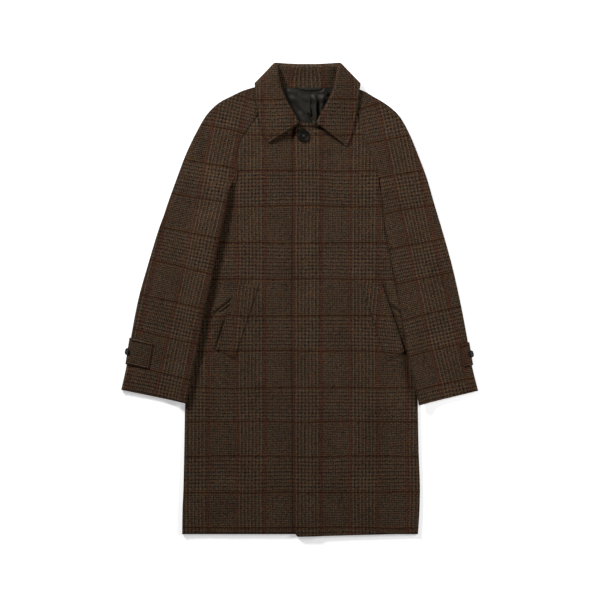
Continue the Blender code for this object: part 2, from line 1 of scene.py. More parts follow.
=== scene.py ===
# %% [markdown]
# # A balmacaan coat, laid flat
# A balmacaan is a loose wool coat with raglan sleeves, a fly that hides the buttons and a small
# turned-down collar. This one lies on its back, fastened, in a heavy brown glen check. The
# lesson loads the coat's solids, lays fine sheets of cloth on the same forms, weaves the check
# in a node material, and lights it softly from the head end.

# %% Load the frame
import math
from collections import namedtuple

import bpy
from mathutils import Matrix, Vector, noise


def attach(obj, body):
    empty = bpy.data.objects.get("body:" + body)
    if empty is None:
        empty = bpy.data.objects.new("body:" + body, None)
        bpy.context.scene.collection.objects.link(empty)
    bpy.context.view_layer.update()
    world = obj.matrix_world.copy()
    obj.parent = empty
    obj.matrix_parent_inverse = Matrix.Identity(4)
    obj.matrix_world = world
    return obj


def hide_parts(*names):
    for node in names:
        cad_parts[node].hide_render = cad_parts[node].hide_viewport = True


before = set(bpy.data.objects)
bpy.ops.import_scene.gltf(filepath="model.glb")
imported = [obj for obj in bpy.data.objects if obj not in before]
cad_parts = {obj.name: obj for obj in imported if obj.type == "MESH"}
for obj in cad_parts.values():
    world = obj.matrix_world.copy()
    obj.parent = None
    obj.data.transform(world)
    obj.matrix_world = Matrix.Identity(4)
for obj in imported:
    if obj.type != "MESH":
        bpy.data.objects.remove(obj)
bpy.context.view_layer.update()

# %% [markdown]
# Lengths are in millimetres until a mesh is made. As on a cutting table, x runs from the back's
# centre line to the wearer's left and y runs up from the hem, and "out" is a distance from the
# centre line to either side. The frame's own origin is under the middle of the coat, so one
# shift takes a point from the cutting table to the frame.

# %% Sizes that the whole coat shares
MM = 0.001
TABLE_TO_FRAME = Vector((3.0, -543.446, 0.0))
WALL = 2.8                    # wool with its facing or lining
SEAM = 0.3                    # gap at a seam
REST = 0.5                    # gap under a layer that lies on another
FRONT_TOP = 9.2               # upper face of the fronts above the floor
FOLD_RADIUS = 4.75            # rounding of the body's side and of a sleeve's outer edge
COLLAR_CENTRE = 15.0          # the collar sits a little to the wearer's left
UNDERARM_Y = 738.0
SEAM_ROW = 9                  # the sleeve row where the fold ends and the raglan seam shows
LAST_ROW = 16                 # the sleeve row at the neck
print("a wall of wool is", WALL, "mm, and the fronts lie", FRONT_TOP, "mm above the floor")

# %% [markdown]
# The outline is drafted the way a pattern cutter does it: a few measured places along each edge,
# and a smooth line through them. The tables give the half width of the body by height, the top
# edge of each front from the underarm to the neck, and the places where the hidden seams lie.
# They are the sizes that the solids were made from, so every sheet meets its solid.

# %% The edges of the body, the fronts and the back
BODY_RIGHT = [(-5, 274), (60, 273), (106, 271), (198, 269), (301, 267), (359, 264), (451, 261),
              (543, 258), (612, 253), (681, 245), (738, 232), (1100, 232)]
BODY_LEFT = [(-5, 269), (60, 273), (106, 274), (198, 271), (301, 269), (359, 266), (451, 261),
             (543, 256), (612, 252), (681, 245), (738, 232), (1100, 232)]
FRONT_TOP_RIGHT = [(-30, 812), (-30, 855), (-30, 895), (-30, 925), (-26, 939), (14, 948),
                   (33, 972), (55, 1005)]
FRONT_TOP_LEFT = [(-18, 814), (-17, 862), (-17, 905), (-15, 938), (38, 946), (62, 973),
                  (78, 994), (87, 1004)]
FRONT_EDGE_RIGHT = [(-5, -30), (900, -30)]
FRONT_EDGE_LEFT = [(-2, -8), (7, -16), (37, -18), (244, -18), (428, -20), (773, -18), (900, -18)]
UNDER_RIGHT = [(290, 291), (359, 287), (451, 284), (543, 281), (612, 276), (679, 268),
               (713, 257), (732, 250), (742, 241), (751, 224), (828, 152)]
UNDER_LEFT = [(290, 293), (359, 289), (451, 284), (543, 279), (612, 275), (679, 268),
              (713, 257), (732, 250), (742, 241), (751, 224), (828, 179)]
HIDDEN_RIGHT = [(783, 190, 775), (797, 162, 786), (812, 156, 799)]
HIDDEN_LEFT = [(783, 205, 775), (797, 183, 786), (812, 180, 799)]
BACK_SEAM_RIGHT = [(742, 231), (1024, 66)]
BACK_SEAM_LEFT = [(742, 231), (1024, 96)]
print("the hem is", BODY_RIGHT[0][1] + BODY_LEFT[0][1], "mm wide")

# %% [markdown]
# A raglan sleeve runs to the neck, so it is drafted as rows across it, from the cuff to the
# collar: where each row starts at the outer edge, where it ends at the inner one, and how high
# the cloth lies there. The cloth was cut along the arm, so its grain leans out, and a second
# table gives that lean in degrees by height. The last two numbers place the check: sideways at
# the height 600, and upwards at the distance out 300.

# %% The rows across each sleeve
SleeveRow = namedtuple("SleeveRow", "outer outer_y inner inner_y inner_top")
SLEEVE_RIGHT = [SleeveRow(*row) for row in [
    (414, 336, 263, 305, 18.4), (402, 391, 253, 358, 19.0),
    (391, 460, 239, 424, 19.2), (375, 543, 224, 508, 19.2),
    (352, 626, 206, 589, 19.2), (327, 708, 189, 674, 19.2),
    (316, 738, 181, 708, 19.2), (306, 768, 174, 743, 19.0),
    (285, 826, 163, 796, 16.8), (267, 874, 152, 828, 9.4),
    (241, 929, 148, 869, 9.3), (216, 971, 138, 908, 9.3),
    (189, 997, 122, 934, 9.3), (161, 1012, 108, 954, 9.3),
    (131, 1026, 94, 973, 9.3), (110, 1032, 80, 989, 9.3),
    (82, 1038, 62, 1009, 9.3),
]]
SLEEVE_LEFT = [SleeveRow(*row) for row in [
    (408, 334, 271, 301, 18.4), (394, 391, 259, 356, 19.0),
    (382, 460, 245, 424, 19.2), (366, 543, 231, 506, 19.2),
    (347, 626, 217, 586, 19.2), (324, 708, 200, 672, 19.2),
    (315, 738, 194, 706, 19.2), (306, 768, 190, 741, 19.0),
    (290, 823, 184, 796, 16.8), (271, 874, 179, 828, 9.4),
    (248, 929, 162, 872, 9.3), (223, 971, 146, 913, 9.3),
    (193, 996, 137, 945, 9.3), (166, 1012, 131, 966, 9.3),
    (143, 1025, 119, 984, 9.3), (124, 1031, 106, 997, 9.3),
    (110, 1037, 91, 1008, 9.3),
]]
Grain = namedtuple("Grain", "lean shift_u shift_v")
GRAIN_RIGHT = Grain([(300, 12), (600, 13), (700, 12), (860, 10), (960, 12), (1040, 18)], -20, 112)
GRAIN_LEFT = Grain([(300, 13.5), (600, 13), (700, 12), (860, 11), (960, 14), (1040, 20)], 88, -25)
print("rows across a sleeve:", len(SLEEVE_RIGHT))

# %% [markdown]
# Both halves of the coat are made by the same functions, so each half keeps its tables together
# under one name. The wearer's right half has the sign -1, because its x runs the other way. The
# pocket welts are given by their four corners and the cuff straps by the sleeve rows they span.

# %% The two halves of the coat
Strap = namedtuple("Strap", "low_row high_row reach")
Side = namedtuple("Side", "name sign body sleeve front_edge front_top under hidden_edge"
                  " back_seam strap welt hem grain")
WELT_RIGHT = [(150, 580), (97, 573), (195, 428), (152, 407)]
WELT_LEFT = [(186, 582), (136, 580), (238, 425), (198, 400)]
RIGHT = Side("right", -1, BODY_RIGHT, SLEEVE_RIGHT, FRONT_EDGE_RIGHT, FRONT_TOP_RIGHT,
             UNDER_RIGHT, HIDDEN_RIGHT, BACK_SEAM_RIGHT, Strap(1.06, 1.94, 54.0), WELT_RIGHT,
             (5, 5), GRAIN_RIGHT)
LEFT = Side("left", 1, BODY_LEFT, SLEEVE_LEFT, FRONT_EDGE_LEFT, FRONT_TOP_LEFT,
            UNDER_LEFT, HIDDEN_LEFT, BACK_SEAM_LEFT, Strap(1.03, 1.80, 20.0), WELT_LEFT,
            (5, -2), GRAIN_LEFT)
BOTH = (RIGHT, LEFT)
print("halves:", [side.name for side in BOTH])

# %% [markdown]
# Three small tools shape everything. smooth() eases from 0 to 1, bell() is 1 at a place and dies
# away from it on both sides, and along() draws a curve through a table's marks that never bulges
# past them, as a bent ruler would.

# %% Drafting helpers
def clamp(value):
    return max(0.0, min(1.0, value))


def smooth(value):
    value = clamp(value)
    return value * value * (3.0 - 2.0 * value)


def mix(a, b, t):
    return a + (b - a) * t


def bell(distance, spread):
    return math.exp(-(distance / spread) ** 2)


def curve_slopes(table):
    rates = [(b[1] - a[1]) / (b[0] - a[0]) for a, b in zip(table, table[1:])]
    slopes = [rates[0]]
    for before, after in zip(rates, rates[1:]):
        slopes.append(2 * before * after / (before + after) if before * after > 0 else 0.0)
    return slopes + [rates[-1]]


KNOWN_SLOPES = {}


def along(table, key):
    """Value at a key of a table of (key, value) pairs, on a curve that doesn't overshoot."""
    slopes = KNOWN_SLOPES.get(id(table))
    if slopes is None:
        slopes = KNOWN_SLOPES[id(table)] = (table, curve_slopes(table))
    slopes = slopes[1]
    if key <= table[0][0]:
        return float(table[0][1])
    if key >= table[-1][0]:
        return float(table[-1][1])
    i = next(i for i in range(len(table) - 1) if key <= table[i + 1][0])
    (low, a), (high, b) = table[i], table[i + 1]
    span = high - low
    t = (key - low) / span
    return (a * (1 + 2 * t) * (1 - t) ** 2 + slopes[i] * span * t * (1 - t) ** 2
            + b * t * t * (3 - 2 * t) + slopes[i + 1] * span * t * t * (t - 1))


COLUMN_TABLES = {}


def row_at(rows, t):
    """The row of a table at a place between its rows."""
    if id(rows) not in COLUMN_TABLES:
        COLUMN_TABLES[id(rows)] = (rows, [[(i, row[c]) for i, row in enumerate(rows)]
                                          for c in range(len(rows[0]))])
    return rows[0]._make(along(column, t) for column in COLUMN_TABLES[id(rows)][1])


def steps_between(low, high, count):
    return [mix(low, high, i / count) for i in range(count + 1)]


print("half way up, the body is", round(along(BODY_RIGHT, 500), 1), "mm from its centre line")

# %% [markdown]
# The next tools work on the points of a path: its length so far, and an even spread of points
# that stand closer where it bends, as a fold needs them. The last one rounds an edge, with a
# short upright part where a thick cloth is sewn.

# %% Paths and rounded edges
def path_lengths(points):
    lengths = [0.0]
    for a, b in zip(points, points[1:]):
        lengths.append(lengths[-1] + (b - a).length)
    return lengths


def share_out(points, count, turn_cost=12.0):
    """Points along a path, closer where it bends."""
    costs = [0.0]
    for i in range(1, len(points)):
        step = points[i] - points[i - 1]
        bend = 0.0
        if i + 1 < len(points):
            bend = step.angle(points[i + 1] - points[i], 0.0)
        costs.append(costs[-1] + step.length + turn_cost * bend)
    shared = []
    i = 1
    for k in range(count + 1):
        goal = costs[-1] * k / count
        while i < len(costs) - 1 and costs[i] < goal - 1e-9:
            i += 1
        t = clamp((goal - costs[i - 1]) / max(costs[i] - costs[i - 1], 1e-9))
        shared.append(points[i - 1].lerp(points[i], t))
    return shared


UPRIGHT = 0.25                # share of half an edge's depth that stands upright at its seam


def rounded(degrees):
    """Inset and rise, as a share of half the depth, on an edge that starts upright at a seam."""
    angle = math.radians(abs(degrees))
    inset = FOLD_RADIUS * (1.0 - math.cos(angle))
    return inset, UPRIGHT * (degrees != 0) + (1.0 - UPRIGHT) * math.sin(angle)


print("an edge turned by 45 degrees:", [round(value, 2) for value in rounded(45)])

# %% [markdown]
# Heavy wool laid flat still keeps soft troughs and ridges: a valley beside the fly's stitching,
# a fold that runs out of each pocket, long ridges down the sleeves, and a dent beside each
# raglan seam. They could come from a cloth simulation, but these few have clear places in the
# photograph, so each is a row of a table: from, to, half width and height, negative for a
# trough. A little smooth noise gives the uneven lie that thick cloth has everywhere.

# %% Creases, ridges and the lie of the cloth
Crease = namedtuple("Crease", "x0 y0 x1 y1 spread height")
BODY_CREASES = [Crease(*row) for row in [
    (-224, 493, -158, 545, 2.9, -3.6), (-218, 492, -165, 531, 2.7, -3.2),
    (-190, 516, -162, 538, 2.6, 1.8), (-204, 500, -166, 545, 20, 2.4),
    (-174, 496, -197, 428, 3.6, -2.4), (-190, 500, -206, 446, 7, 1.2),
    (184, 588, 243, 420, 4.0, -3.4), (214, 556, 238, 470, 12, 1.4),
    (-199, 395, -176, 330, 16, -1.2), (-150, 420, -120, 360, 22, -0.8),
    (196, 534, 236, 508, 2.6, -2.4), (200, 542, 238, 518, 3.0, 1.6),
    (150, 566, 175, 545, 12, 0.9), (188, 590, 214, 560, 10, 0.8),
    (-104, 880, -150, 820, 14, -1.2), (-60, 895, -120, 850, 16, 0.7),
    (108, 868, 165, 846, 13, -1.3), (150, 850, 178, 800, 10, -1.0),
    (-150, 700, -160, 600, 18, -0.7), (-205, 700, -215, 560, 12, -0.9),
    (48, 680, 45, 430, 7, -0.9), (70, 890, 70, 760, 7, -1.1),
    (22, 890, 22, 650, 14, 0.5), (-44, 860, -42, 120, 9, 0.7),
    (-90, 300, -96, 90, 26, -0.7), (-170, 260, -176, 60, 30, 0.7),
    (96, 330, 104, 70, 28, 0.7), (180, 300, 186, 60, 26, -0.6),
    (-230, 240, -236, 30, 18, -0.8), (232, 260, 238, 40, 18, 0.6),
]]
SLEEVE_CREASES = [Crease(*row) for row in [
    (-194, 915, -201, 784, 12, 1.6), (-221, 907, -224, 850, 9, -1.5),
    (-172, 905, -163, 835, 9, -1.6), (-217, 742, -232, 640, 15, 1.2),
    (-262, 720, -276, 610, 12, -1.1), (-240, 600, -256, 470, 16, 1.0),
    (-280, 560, -300, 430, 14, -0.9), (-322, 600, -350, 470, 12, 0.9),
    (-250, 890, -290, 760, 14, 0.9), (-235, 505, -330, 470, 16, -0.7),
    (-250, 410, -380, 395, 14, -0.8), (-300, 400, -312, 330, 16, 0.7),
    (236, 895, 243, 848, 9, -1.6), (246, 800, 262, 640, 13, 1.7),
    (215, 880, 224, 790, 11, 1.0), (290, 690, 316, 560, 14, -1.0),
    (270, 600, 290, 450, 14, 1.0), (240, 560, 256, 420, 10, -0.9),
    (320, 560, 350, 420, 13, 0.9), (262, 470, 350, 455, 14, -0.8),
    (300, 430, 318, 330, 14, 0.8), (275, 770, 300, 690, 12, -0.8),
    (-120, 1000, -170, 960, 14, -0.8), (150, 1000, 200, 950, 14, -0.8),
    (365, 470, 392, 420, 10, -0.9), (-370, 480, -398, 440, 10, -0.8),
]]
LIE_SIZE = 85.0
LIE_STRETCH = 1.6             # the cloth lies in longer waves along its length
LIE_HEIGHT = 1.5
FINE_LIE_SIZE = 24.0
FINE_LIE_HEIGHT = 0.28
CREASE_GAIN = 1.5
CREASE_END = 0.2              # share of its length over which a crease fades past each end
CREASE_REACH = 3.0            # half widths beyond which it is gone


def crease_height(crease, x, y):
    """A soft trough or ridge that dies away to both ends."""
    run_x, run_y = crease.x1 - crease.x0, crease.y1 - crease.y0
    t = ((x - crease.x0) * run_x + (y - crease.y0) * run_y) / (run_x * run_x + run_y * run_y)
    if not -CREASE_END <= t <= 1 + CREASE_END:
        return 0.0
    across = (x - crease.x0 - t * run_x) ** 2 + (y - crease.y0 - t * run_y) ** 2
    if across > (CREASE_REACH * crease.spread) ** 2:
        return 0.0
    fade = (smooth((t + CREASE_END) / (2 * CREASE_END))
            * smooth((1 + CREASE_END - t) / (2 * CREASE_END)))
    return crease.height * fade * math.exp(-across / crease.spread ** 2)


def lie(x, y, creases=()):
    """Height that the cloth's creases and its uneven lie add at a place on the table."""
    height = CREASE_GAIN * sum(crease_height(crease, x, y) for crease in creases)
    height += LIE_HEIGHT * noise.noise(Vector((x / LIE_SIZE, y / (LIE_STRETCH * LIE_SIZE), 3.1)))
    height += FINE_LIE_HEIGHT * noise.noise(Vector((x / FINE_LIE_SIZE, y / FINE_LIE_SIZE, 8.7)))
    return height


print("creases:", len(BODY_CREASES), "on the body,", len(SLEEVE_CREASES), "on the sleeves")

# %% [markdown]
# A glen check is two simple stripes crossing: four dark and four light threads, then two and
# two, both along and across, in a twill. An overcheck of rust threads runs up each boundary, and
# a plum and an orange line run across. The cloth can't just be painted with a picture here, and
# the weave is so regular that node maths gives every thread. The coordinate is the sheet's own
# UV map in metres along the grain, so the check bends and folds with the cloth. A small class
# lets the maths be written as plain Python.


# %% Maths on node sockets
class Shade:
    """A socket of a material, so that Python's signs add its Math nodes."""

    def __init__(self, tree, socket=None):
        self.tree = tree
        self.socket = socket

    def node(self, kind, settings=None, inputs=None, output=0):
        made = self.tree.nodes.new(kind)
        for name, value in (settings or {}).items():
            if name == "stops":
                ramp = made.color_ramp
                for place, colour in value[1:-1]:
                    ramp.elements.new(place).color = (*colour, 1.0)
                ramp.elements[0].position, ramp.elements[-1].position = value[0][0], value[-1][0]
                ramp.elements[0].color = (*value[0][1], 1.0)
                ramp.elements[-1].color = (*value[-1][1], 1.0)
            else:
                setattr(made, name, value)
        for name, value in (inputs or {}).items():
            if isinstance(value, Shade):
                self.tree.links.new(value.socket, made.inputs[name])
            else:
                made.inputs[name].default_value = value
        return Shade(self.tree, made.outputs[output])

    def maths(self, operation, *values):
        return self.node("ShaderNodeMath", {"operation": operation}, dict(enumerate(values)))

    def __add__(self, other):
        return self.maths("ADD", self, other)

    def __radd__(self, other):
        return self.maths("ADD", other, self)

    def __sub__(self, other):
        return self.maths("SUBTRACT", self, other)

    def __rsub__(self, other):
        return self.maths("SUBTRACT", other, self)

    def __mul__(self, other):
        return self.maths("MULTIPLY", self, other)

    def __rmul__(self, other):
        return self.maths("MULTIPLY", other, self)

    def __truediv__(self, other):
        return self.maths("DIVIDE", self, other)

    def __mod__(self, other):
        return self.maths("FLOORED_MODULO", self, other)

    def __lt__(self, other):
        return self.maths("LESS_THAN", self, other)

    def __gt__(self, other):
        return self.maths("GREATER_THAN", self, other)

    def floor(self):
        return self.maths("FLOOR", self)

    def choose(self, off, on):
        """Numbers: off where this is 0, on where it is 1."""
        return self.node("ShaderNodeMix", {"data_type": "FLOAT"}, {0: self, 2: off, 3: on})

    def tint(self, off, on):
        """Colours: off where this is 0, on where it is 1."""
        return self.node("ShaderNodeMix", {"data_type": "RGBA"}, {0: self, 6: off, 7: on},
                         output=2)


print("signs that add a node: + - * / % < >")

# %% [markdown]
# Four helpers start and feed a material. What is the same all over is set on the shader's own
# socket, and only what changes over the surface is linked. Soft noise is for mottling, and white
# noise gives each thread, by its number, a value of its own.

# %% Materials and noises
def new_material(name, sheen=0.0, sheen_tint=(1, 1, 1), specular=0.5):
    """A material and its Principled shader, with what is the same all over set on it."""
    material = bpy.data.materials.new(name)
    material.use_nodes = True
    shader = material.node_tree.nodes["Principled BSDF"]
    shader.inputs["Sheen Weight"].default_value = sheen
    shader.inputs["Sheen Roughness"].default_value = 0.5
    shader.inputs["Sheen Tint"].default_value = (*sheen_tint, 1.0)
    shader.inputs["Specular IOR Level"].default_value = specular
    return material, shader


def feed(shader, name, value):
    if isinstance(value, Shade):
        shader.id_data.links.new(value.socket, shader.inputs[name])
    else:
        shader.inputs[name].default_value = value


def cloud(place, scale, detail, **more):
    """Soft noise between 0 and 1, read at a place."""
    return place.node("ShaderNodeTexNoise", {},
                      {"Vector": place, "Scale": scale, "Detail": detail, **more})


def chance(numbers, dimensions="1D"):
    """A value between 0 and 1 that each whole number, or each pair of them, keeps."""
    return numbers.node("ShaderNodeTexWhiteNoise", {"noise_dimensions": dimensions},
                        {"W" if dimensions == "1D" else "Vector": numbers})


print("materials before the coat's own:", len(bpy.data.materials))

# %% [markdown]
# The wool's own colour is a warm, dark brown: light threads in a heathered tan, dark ones in
# near-black brown, and rust, plum and orange for the lines between the bands. The wool was dyed
# before it was spun, so a last table tints each stitch a little by the value of a noise.

# %% The yarns and their stripes
WARP_BAND = 0.0656            # metres between two rust lines
WEFT_BAND = 0.0824            # metres between two dark lines
WARP_THREADS = 64             # threads in a band
WEFT_THREADS = 80
WARP_START = -0.0204          # a rust line is this far from the centre line
WEFT_START = 0.0147           # a dark line is this far above the hem
WHOLE_REPEATS = 10            # keeps every thread's number above zero
DARK_YARN = (0.0052, 0.0040, 0.0038, 1)
LIGHT_WARP = (0.090, 0.066, 0.050, 1)
LIGHT_WEFT = (0.100, 0.061, 0.031, 1)
RUST_YARN = (0.053, 0.0118, 0.0108, 1)
PLUM_YARN = (0.0110, 0.0042, 0.0040, 1)
ORANGE_YARN = (0.084, 0.039, 0.0120, 1)
DYES = [(0.00, (0.80, 0.96, 1.25)), (0.18, (0.80, 1.04, 1.14)), (0.34, (0.86, 1.08, 0.88)),
        (0.48, (1.00, 1.00, 0.98)), (0.64, (1.08, 1.00, 0.80)), (0.78, (1.32, 0.96, 0.68)),
        (0.90, (1.30, 0.80, 0.92)), (1.00, (1.05, 0.90, 1.08))]


def stripes(thread, band_threads, coarse_is_odd):
    """1 on a light thread: fours in one band and twos in the next."""
    odd = (thread / band_threads).floor() % 2.0
    coarse = odd if coarse_is_odd else 1 - odd
    return coarse.choose((thread % 4.0) < 2.0, (thread % 8.0) < 4.0)


print("one whole check is", round(2 * WARP_BAND, 4), "by", round(2 * WEFT_BAND, 4), "m")

# %% [markdown]
# A thread's number is its place on the chart over a thread's width, rounded down. In a twill the
# warp is on top wherever the two numbers add up to the right remainder, and that alone draws the
# slanting ribs. Real threads stray a little, so smooth noise shifts the chart before the count.
# A stitch, the short length of a thread that shows, gets a pair of numbers of its own.

# %% Counting the threads
STRAY_SIZE, STRAY = 90.0, 0.0012      # the noise's scale, and how many metres it shifts
DRIFT_SIZE, DRIFT = 7.0, 0.009
Weave = namedtuple("Weave", "chart warp weft warp_number weft_number warp_on_top stitch")


def count_threads(tree):
    chart = Shade(tree).node("ShaderNodeUVMap")
    u, v = (chart.node("ShaderNodeSeparateXYZ", {}, {0: chart}, output=i) for i in (0, 1))
    sway = ((cloud(chart, STRAY_SIZE, 1.0) - 0.5) * STRAY
            + (cloud(chart, DRIFT_SIZE, 0.0) - 0.5) * DRIFT)
    to_warp = 2 * WHOLE_REPEATS * WARP_BAND - WARP_START
    to_weft = 2 * WHOLE_REPEATS * WEFT_BAND - WEFT_START
    warp = (u + sway * 0.5 + to_warp) * (WARP_THREADS / WARP_BAND)
    weft = (v + sway + to_weft) * (WEFT_THREADS / WEFT_BAND)
    warp_number, weft_number = warp.floor(), weft.floor()
    warp_on_top = ((warp_number + weft_number) % 4.0) < 2.0
    stitch = chart.node("ShaderNodeCombineXYZ", {}, {
        0: warp_on_top.choose((warp_number / 3.0).floor(), warp_number),
        1: warp_on_top.choose(weft_number, (weft_number / 3.0).floor())})
    return Weave(chart, warp, weft, warp_number, weft_number, warp_on_top, stitch)


print("threads to a centimetre:", round(WARP_THREADS / WARP_BAND / 100, 1), "along the warp")

# %% [markdown]
# How light a stitch is comes from its stripe, from its thread, from itself and from the mottled
# wool in it, which is what makes a tweed look soft. The lines of the overcheck are laid over
# that. Each row of the loop says where a line is, and how much of it shows where the weft is on
# top and where the warp is.

# %% The colour of the cloth
FROM_STRIPE, FROM_THREAD, FROM_STITCH, FROM_HEATHER = 0.66, 0.28, 0.76, 1.5
LEAST_LIGHT = 0.02
FINE_BAND_LOSS = 0.035        # the band of twos is a little darker than the band of fours
RUST_THREADS = 7.0
OTHER_STITCH = (0.37, 0.61, 0.0)      # moves to a second noise


def cloth_colour(weave, heather):
    on_top, stitch = weave.warp_on_top, weave.stitch
    own_stitch = chance(stitch, "2D")
    weft_shade = chance(weave.weft_number + 0.5)
    own_shade = on_top.choose(weft_shade, chance(weave.warp_number))
    light = on_top.choose(stripes(weave.weft_number, WEFT_THREADS, coarse_is_odd=True),
                          stripes(weave.warp_number, WARP_THREADS, coarse_is_odd=False))
    fine = (weave.warp_number / WARP_THREADS).floor() % 2.0
    amount = (light * FROM_STRIPE + LEAST_LIGHT + (own_shade - 0.5) * FROM_THREAD
              + (own_stitch - 0.5) * FROM_STITCH + (heather - 0.5) * FROM_HEATHER
              - fine * FINE_BAND_LOSS)
    amount = amount.node("ShaderNodeClamp", {}, {0: amount})
    yarn = amount.tint(DARK_YARN, on_top.tint(LIGHT_WEFT, LIGHT_WARP))
    row = (weave.weft_number + 4.0) % float(WEFT_THREADS)
    rust = ((weave.warp_number % float(WARP_THREADS)) < RUST_THREADS) * (own_stitch > 0.38)
    orange = (row > 0.5) * (row < 9.5) * (own_stitch > 0.45) * 0.75
    plum = (row > 3.5) * (row < 6.5)
    for where, on_weft, on_warp, colour in (
            ((weft_shade > 0.62) * 0.45, 0.95, 0.30, amount.tint(DARK_YARN, ORANGE_YARN)),
            (orange, 0.95, 0.30, ORANGE_YARN), (plum, 0.95, 0.62, PLUM_YARN),
            (rust, 0.14, 0.84, RUST_YARN)):
        yarn = (on_top.choose(on_weft, on_warp) * where).tint(yarn, colour)
    yarn = ((own_stitch < 0.10) * 0.45).tint(yarn, ORANGE_YARN)
    hue = chance(stitch.node("ShaderNodeVectorMath", {"operation": "ADD"},
                             {0: stitch, 1: OTHER_STITCH}), "2D")
    dye = hue.node("ShaderNodeValToRGB", {"stops": DYES}, {0: hue})
    dyed = yarn.node("ShaderNodeMix", {"data_type": "RGBA", "blend_type": "MULTIPLY"},
                     {0: 1.0, 6: yarn, 7: dye}, output=2)
    tone = yarn.node("ShaderNodeMapRange", {},
                     {0: cloud(weave.chart, 14.0, 2.0), 1: 0.3, 2: 0.7, 3: 0.9, 4: 1.1})
    return dyed.node("ShaderNodeVectorMath", {"operation": "SCALE"}, {0: dyed, 3: tone})


print("dyes:", len(DYES))

# %% [markdown]
# Wool scatters light at a shallow angle off its loose fibres, so the shader has a little sheen
# and hardly any gloss. Every thread stands up as a small ridge in the bump, with the heather on
# top of it, so that the light catches the twill in a close view.

# %% The finished wool
def make_wool(name):
    material, shader = new_material(name, sheen=0.05, sheen_tint=(0.75, 0.58, 0.42), specular=0.03)
    weave = count_threads(material.node_tree)
    heather = cloud(weave.chart, 270.0, 2.0, Roughness=0.55)
    warp_across = (weave.warp % 1.0) * 2.0 - 1
    weft_across = (weave.weft % 1.0) * 2.0 - 1
    ridge = weave.warp_on_top.choose(1 - weft_across * weft_across, 1 - warp_across * warp_across)
    feed(shader, "Base Color", cloth_colour(weave, heather))
    feed(shader, "Roughness", 0.82 + heather * 0.16)
    feed(shader, "Normal", heather.node("ShaderNodeBump", {}, {
        "Strength": 0.55, "Distance": 0.0005, "Height": ridge * 0.55 + heather * 0.6}))
    return material


wool = make_wool("glen_check_wool")
print("wool nodes:", len(wool.node_tree.nodes))

# %% [markdown]
# A sheet of cloth is a grid primitive whose points are laid on the draft, row by row. Pulling a
# grid about by hand would do for one cushion, but these panels have to meet along their seams.
# The sheet's map is the place of each point on the uncut cloth, in metres, and Solidify, applied
# at once, gives the wall its thickness inwards from the face that shows. Each sheet takes the
# place of the plain solid that has its name.


# %% Laying a sheet of cloth
SHARPEST_SMOOTH = math.radians(50)


def on_frame(point):
    return (point + TABLE_TO_FRAME) * MM


def deselect():
    if bpy.context.object and bpy.context.object.mode != "OBJECT":
        bpy.ops.object.mode_set(mode="OBJECT")
    bpy.ops.object.select_all(action="DESELECT")


def lay_sheet(node, rows, charts, wall, turned=False, material=wool):
    """A wall of cloth under points in rows, each with its place on the uncut cloth."""
    if turned:
        rows = [row[::-1] for row in rows]
        charts = [row[::-1] for row in charts]
    across, up = len(rows[0]) - 1, len(rows) - 1
    deselect()
    bpy.ops.mesh.primitive_grid_add(x_subdivisions=across, y_subdivisions=up, size=1.0)
    piece = bpy.context.object
    piece.name = piece.data.name = node + "_cloth"
    mesh = piece.data
    if len(mesh.vertices) != (across + 1) * (up + 1):
        raise ValueError(f"{node}: the grid has {len(mesh.vertices)} points")
    places = [on_frame(point) for row in rows for point in row]
    mesh.vertices.foreach_set("co", [value for place in places for value in place])
    flat = [chart for row in charts for chart in row]
    corner_vertices = [0] * len(mesh.loops)
    mesh.loops.foreach_get("vertex_index", corner_vertices)
    mesh.uv_layers.active.data.foreach_set(
        "uv", [value * MM for corner in corner_vertices for value in flat[corner]])
    mesh.update()
    mesh.materials.append(material)
    solidify = piece.modifiers.new("Wall", "SOLIDIFY")
    solidify.thickness = wall * MM
    solidify.offset = -1.0
    bpy.ops.object.modifier_apply(modifier=solidify.name)
    bpy.ops.object.shade_smooth_by_angle(angle=SHARPEST_SMOOTH)
    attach(piece, "root")
    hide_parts(node)
    area = sum(face.area for face in mesh.polygons) / 2
    print(piece.name, len(mesh.polygons), "faces,", round(area, 4), "m2 of cloth")


def to_side(side, points):
    return [Vector((side.sign * p.x, p.y, p.z)) for p in points]


def flat_chart(points):
    """The map of cloth that lies plain: the place of each point on the table."""
    return [(point.x, point.y) for point in points]


print("the middle of the hem is at", [round(c, 3) for c in on_frame(Vector((0, 0, 0)))])

# %% [markdown]
# The two fronts meet at a fly. The wearer's left front lies over the right one, so it stands
# higher as far as the stitching of the fly, where it drops in a soft valley. Behind the neck the
# cloth lies on the collar, which lifts it. Beside each sleeve's fold the front sinks or swells:
# that shadow is the deepest one in the coat, so its height has a table of its own.


# %% Heights of the fronts and of what lies behind the collar
COLLAR_LEAF = [(0, 1020), (34, 1020), (70, 1023), (112, 1036), (122, 1042)]
COLLAR_LIFT = 3.5
LIFT_RUN = 14.0               # the cloth climbs onto the collar over this
LIFT_LEAD = 5.0
COLLAR_REACH = 140.0          # from the collar's centre to where the cloth lies flat again
FLY_RISE = 3.2                # the left front over the right front
FLY_FLAT = 33.0
FLY_VALLEY = [(0, 52), (680, 52), (760, 70), (1100, 70)]
UNDERLAP_DIP = 1.0            # the right front sinks where the left one presses on it
UNDERLAP_EDGE, UNDERLAP_RUN = -40.0, 30.0


def collar_lift(out, y, sign):
    from_centre = abs(sign * out - COLLAR_CENTRE)
    over = smooth((y - along(COLLAR_LEAF, from_centre) + LIFT_RUN + LIFT_LEAD) / LIFT_RUN)
    return COLLAR_LIFT * over * smooth((COLLAR_REACH - from_centre) / LIFT_RUN)


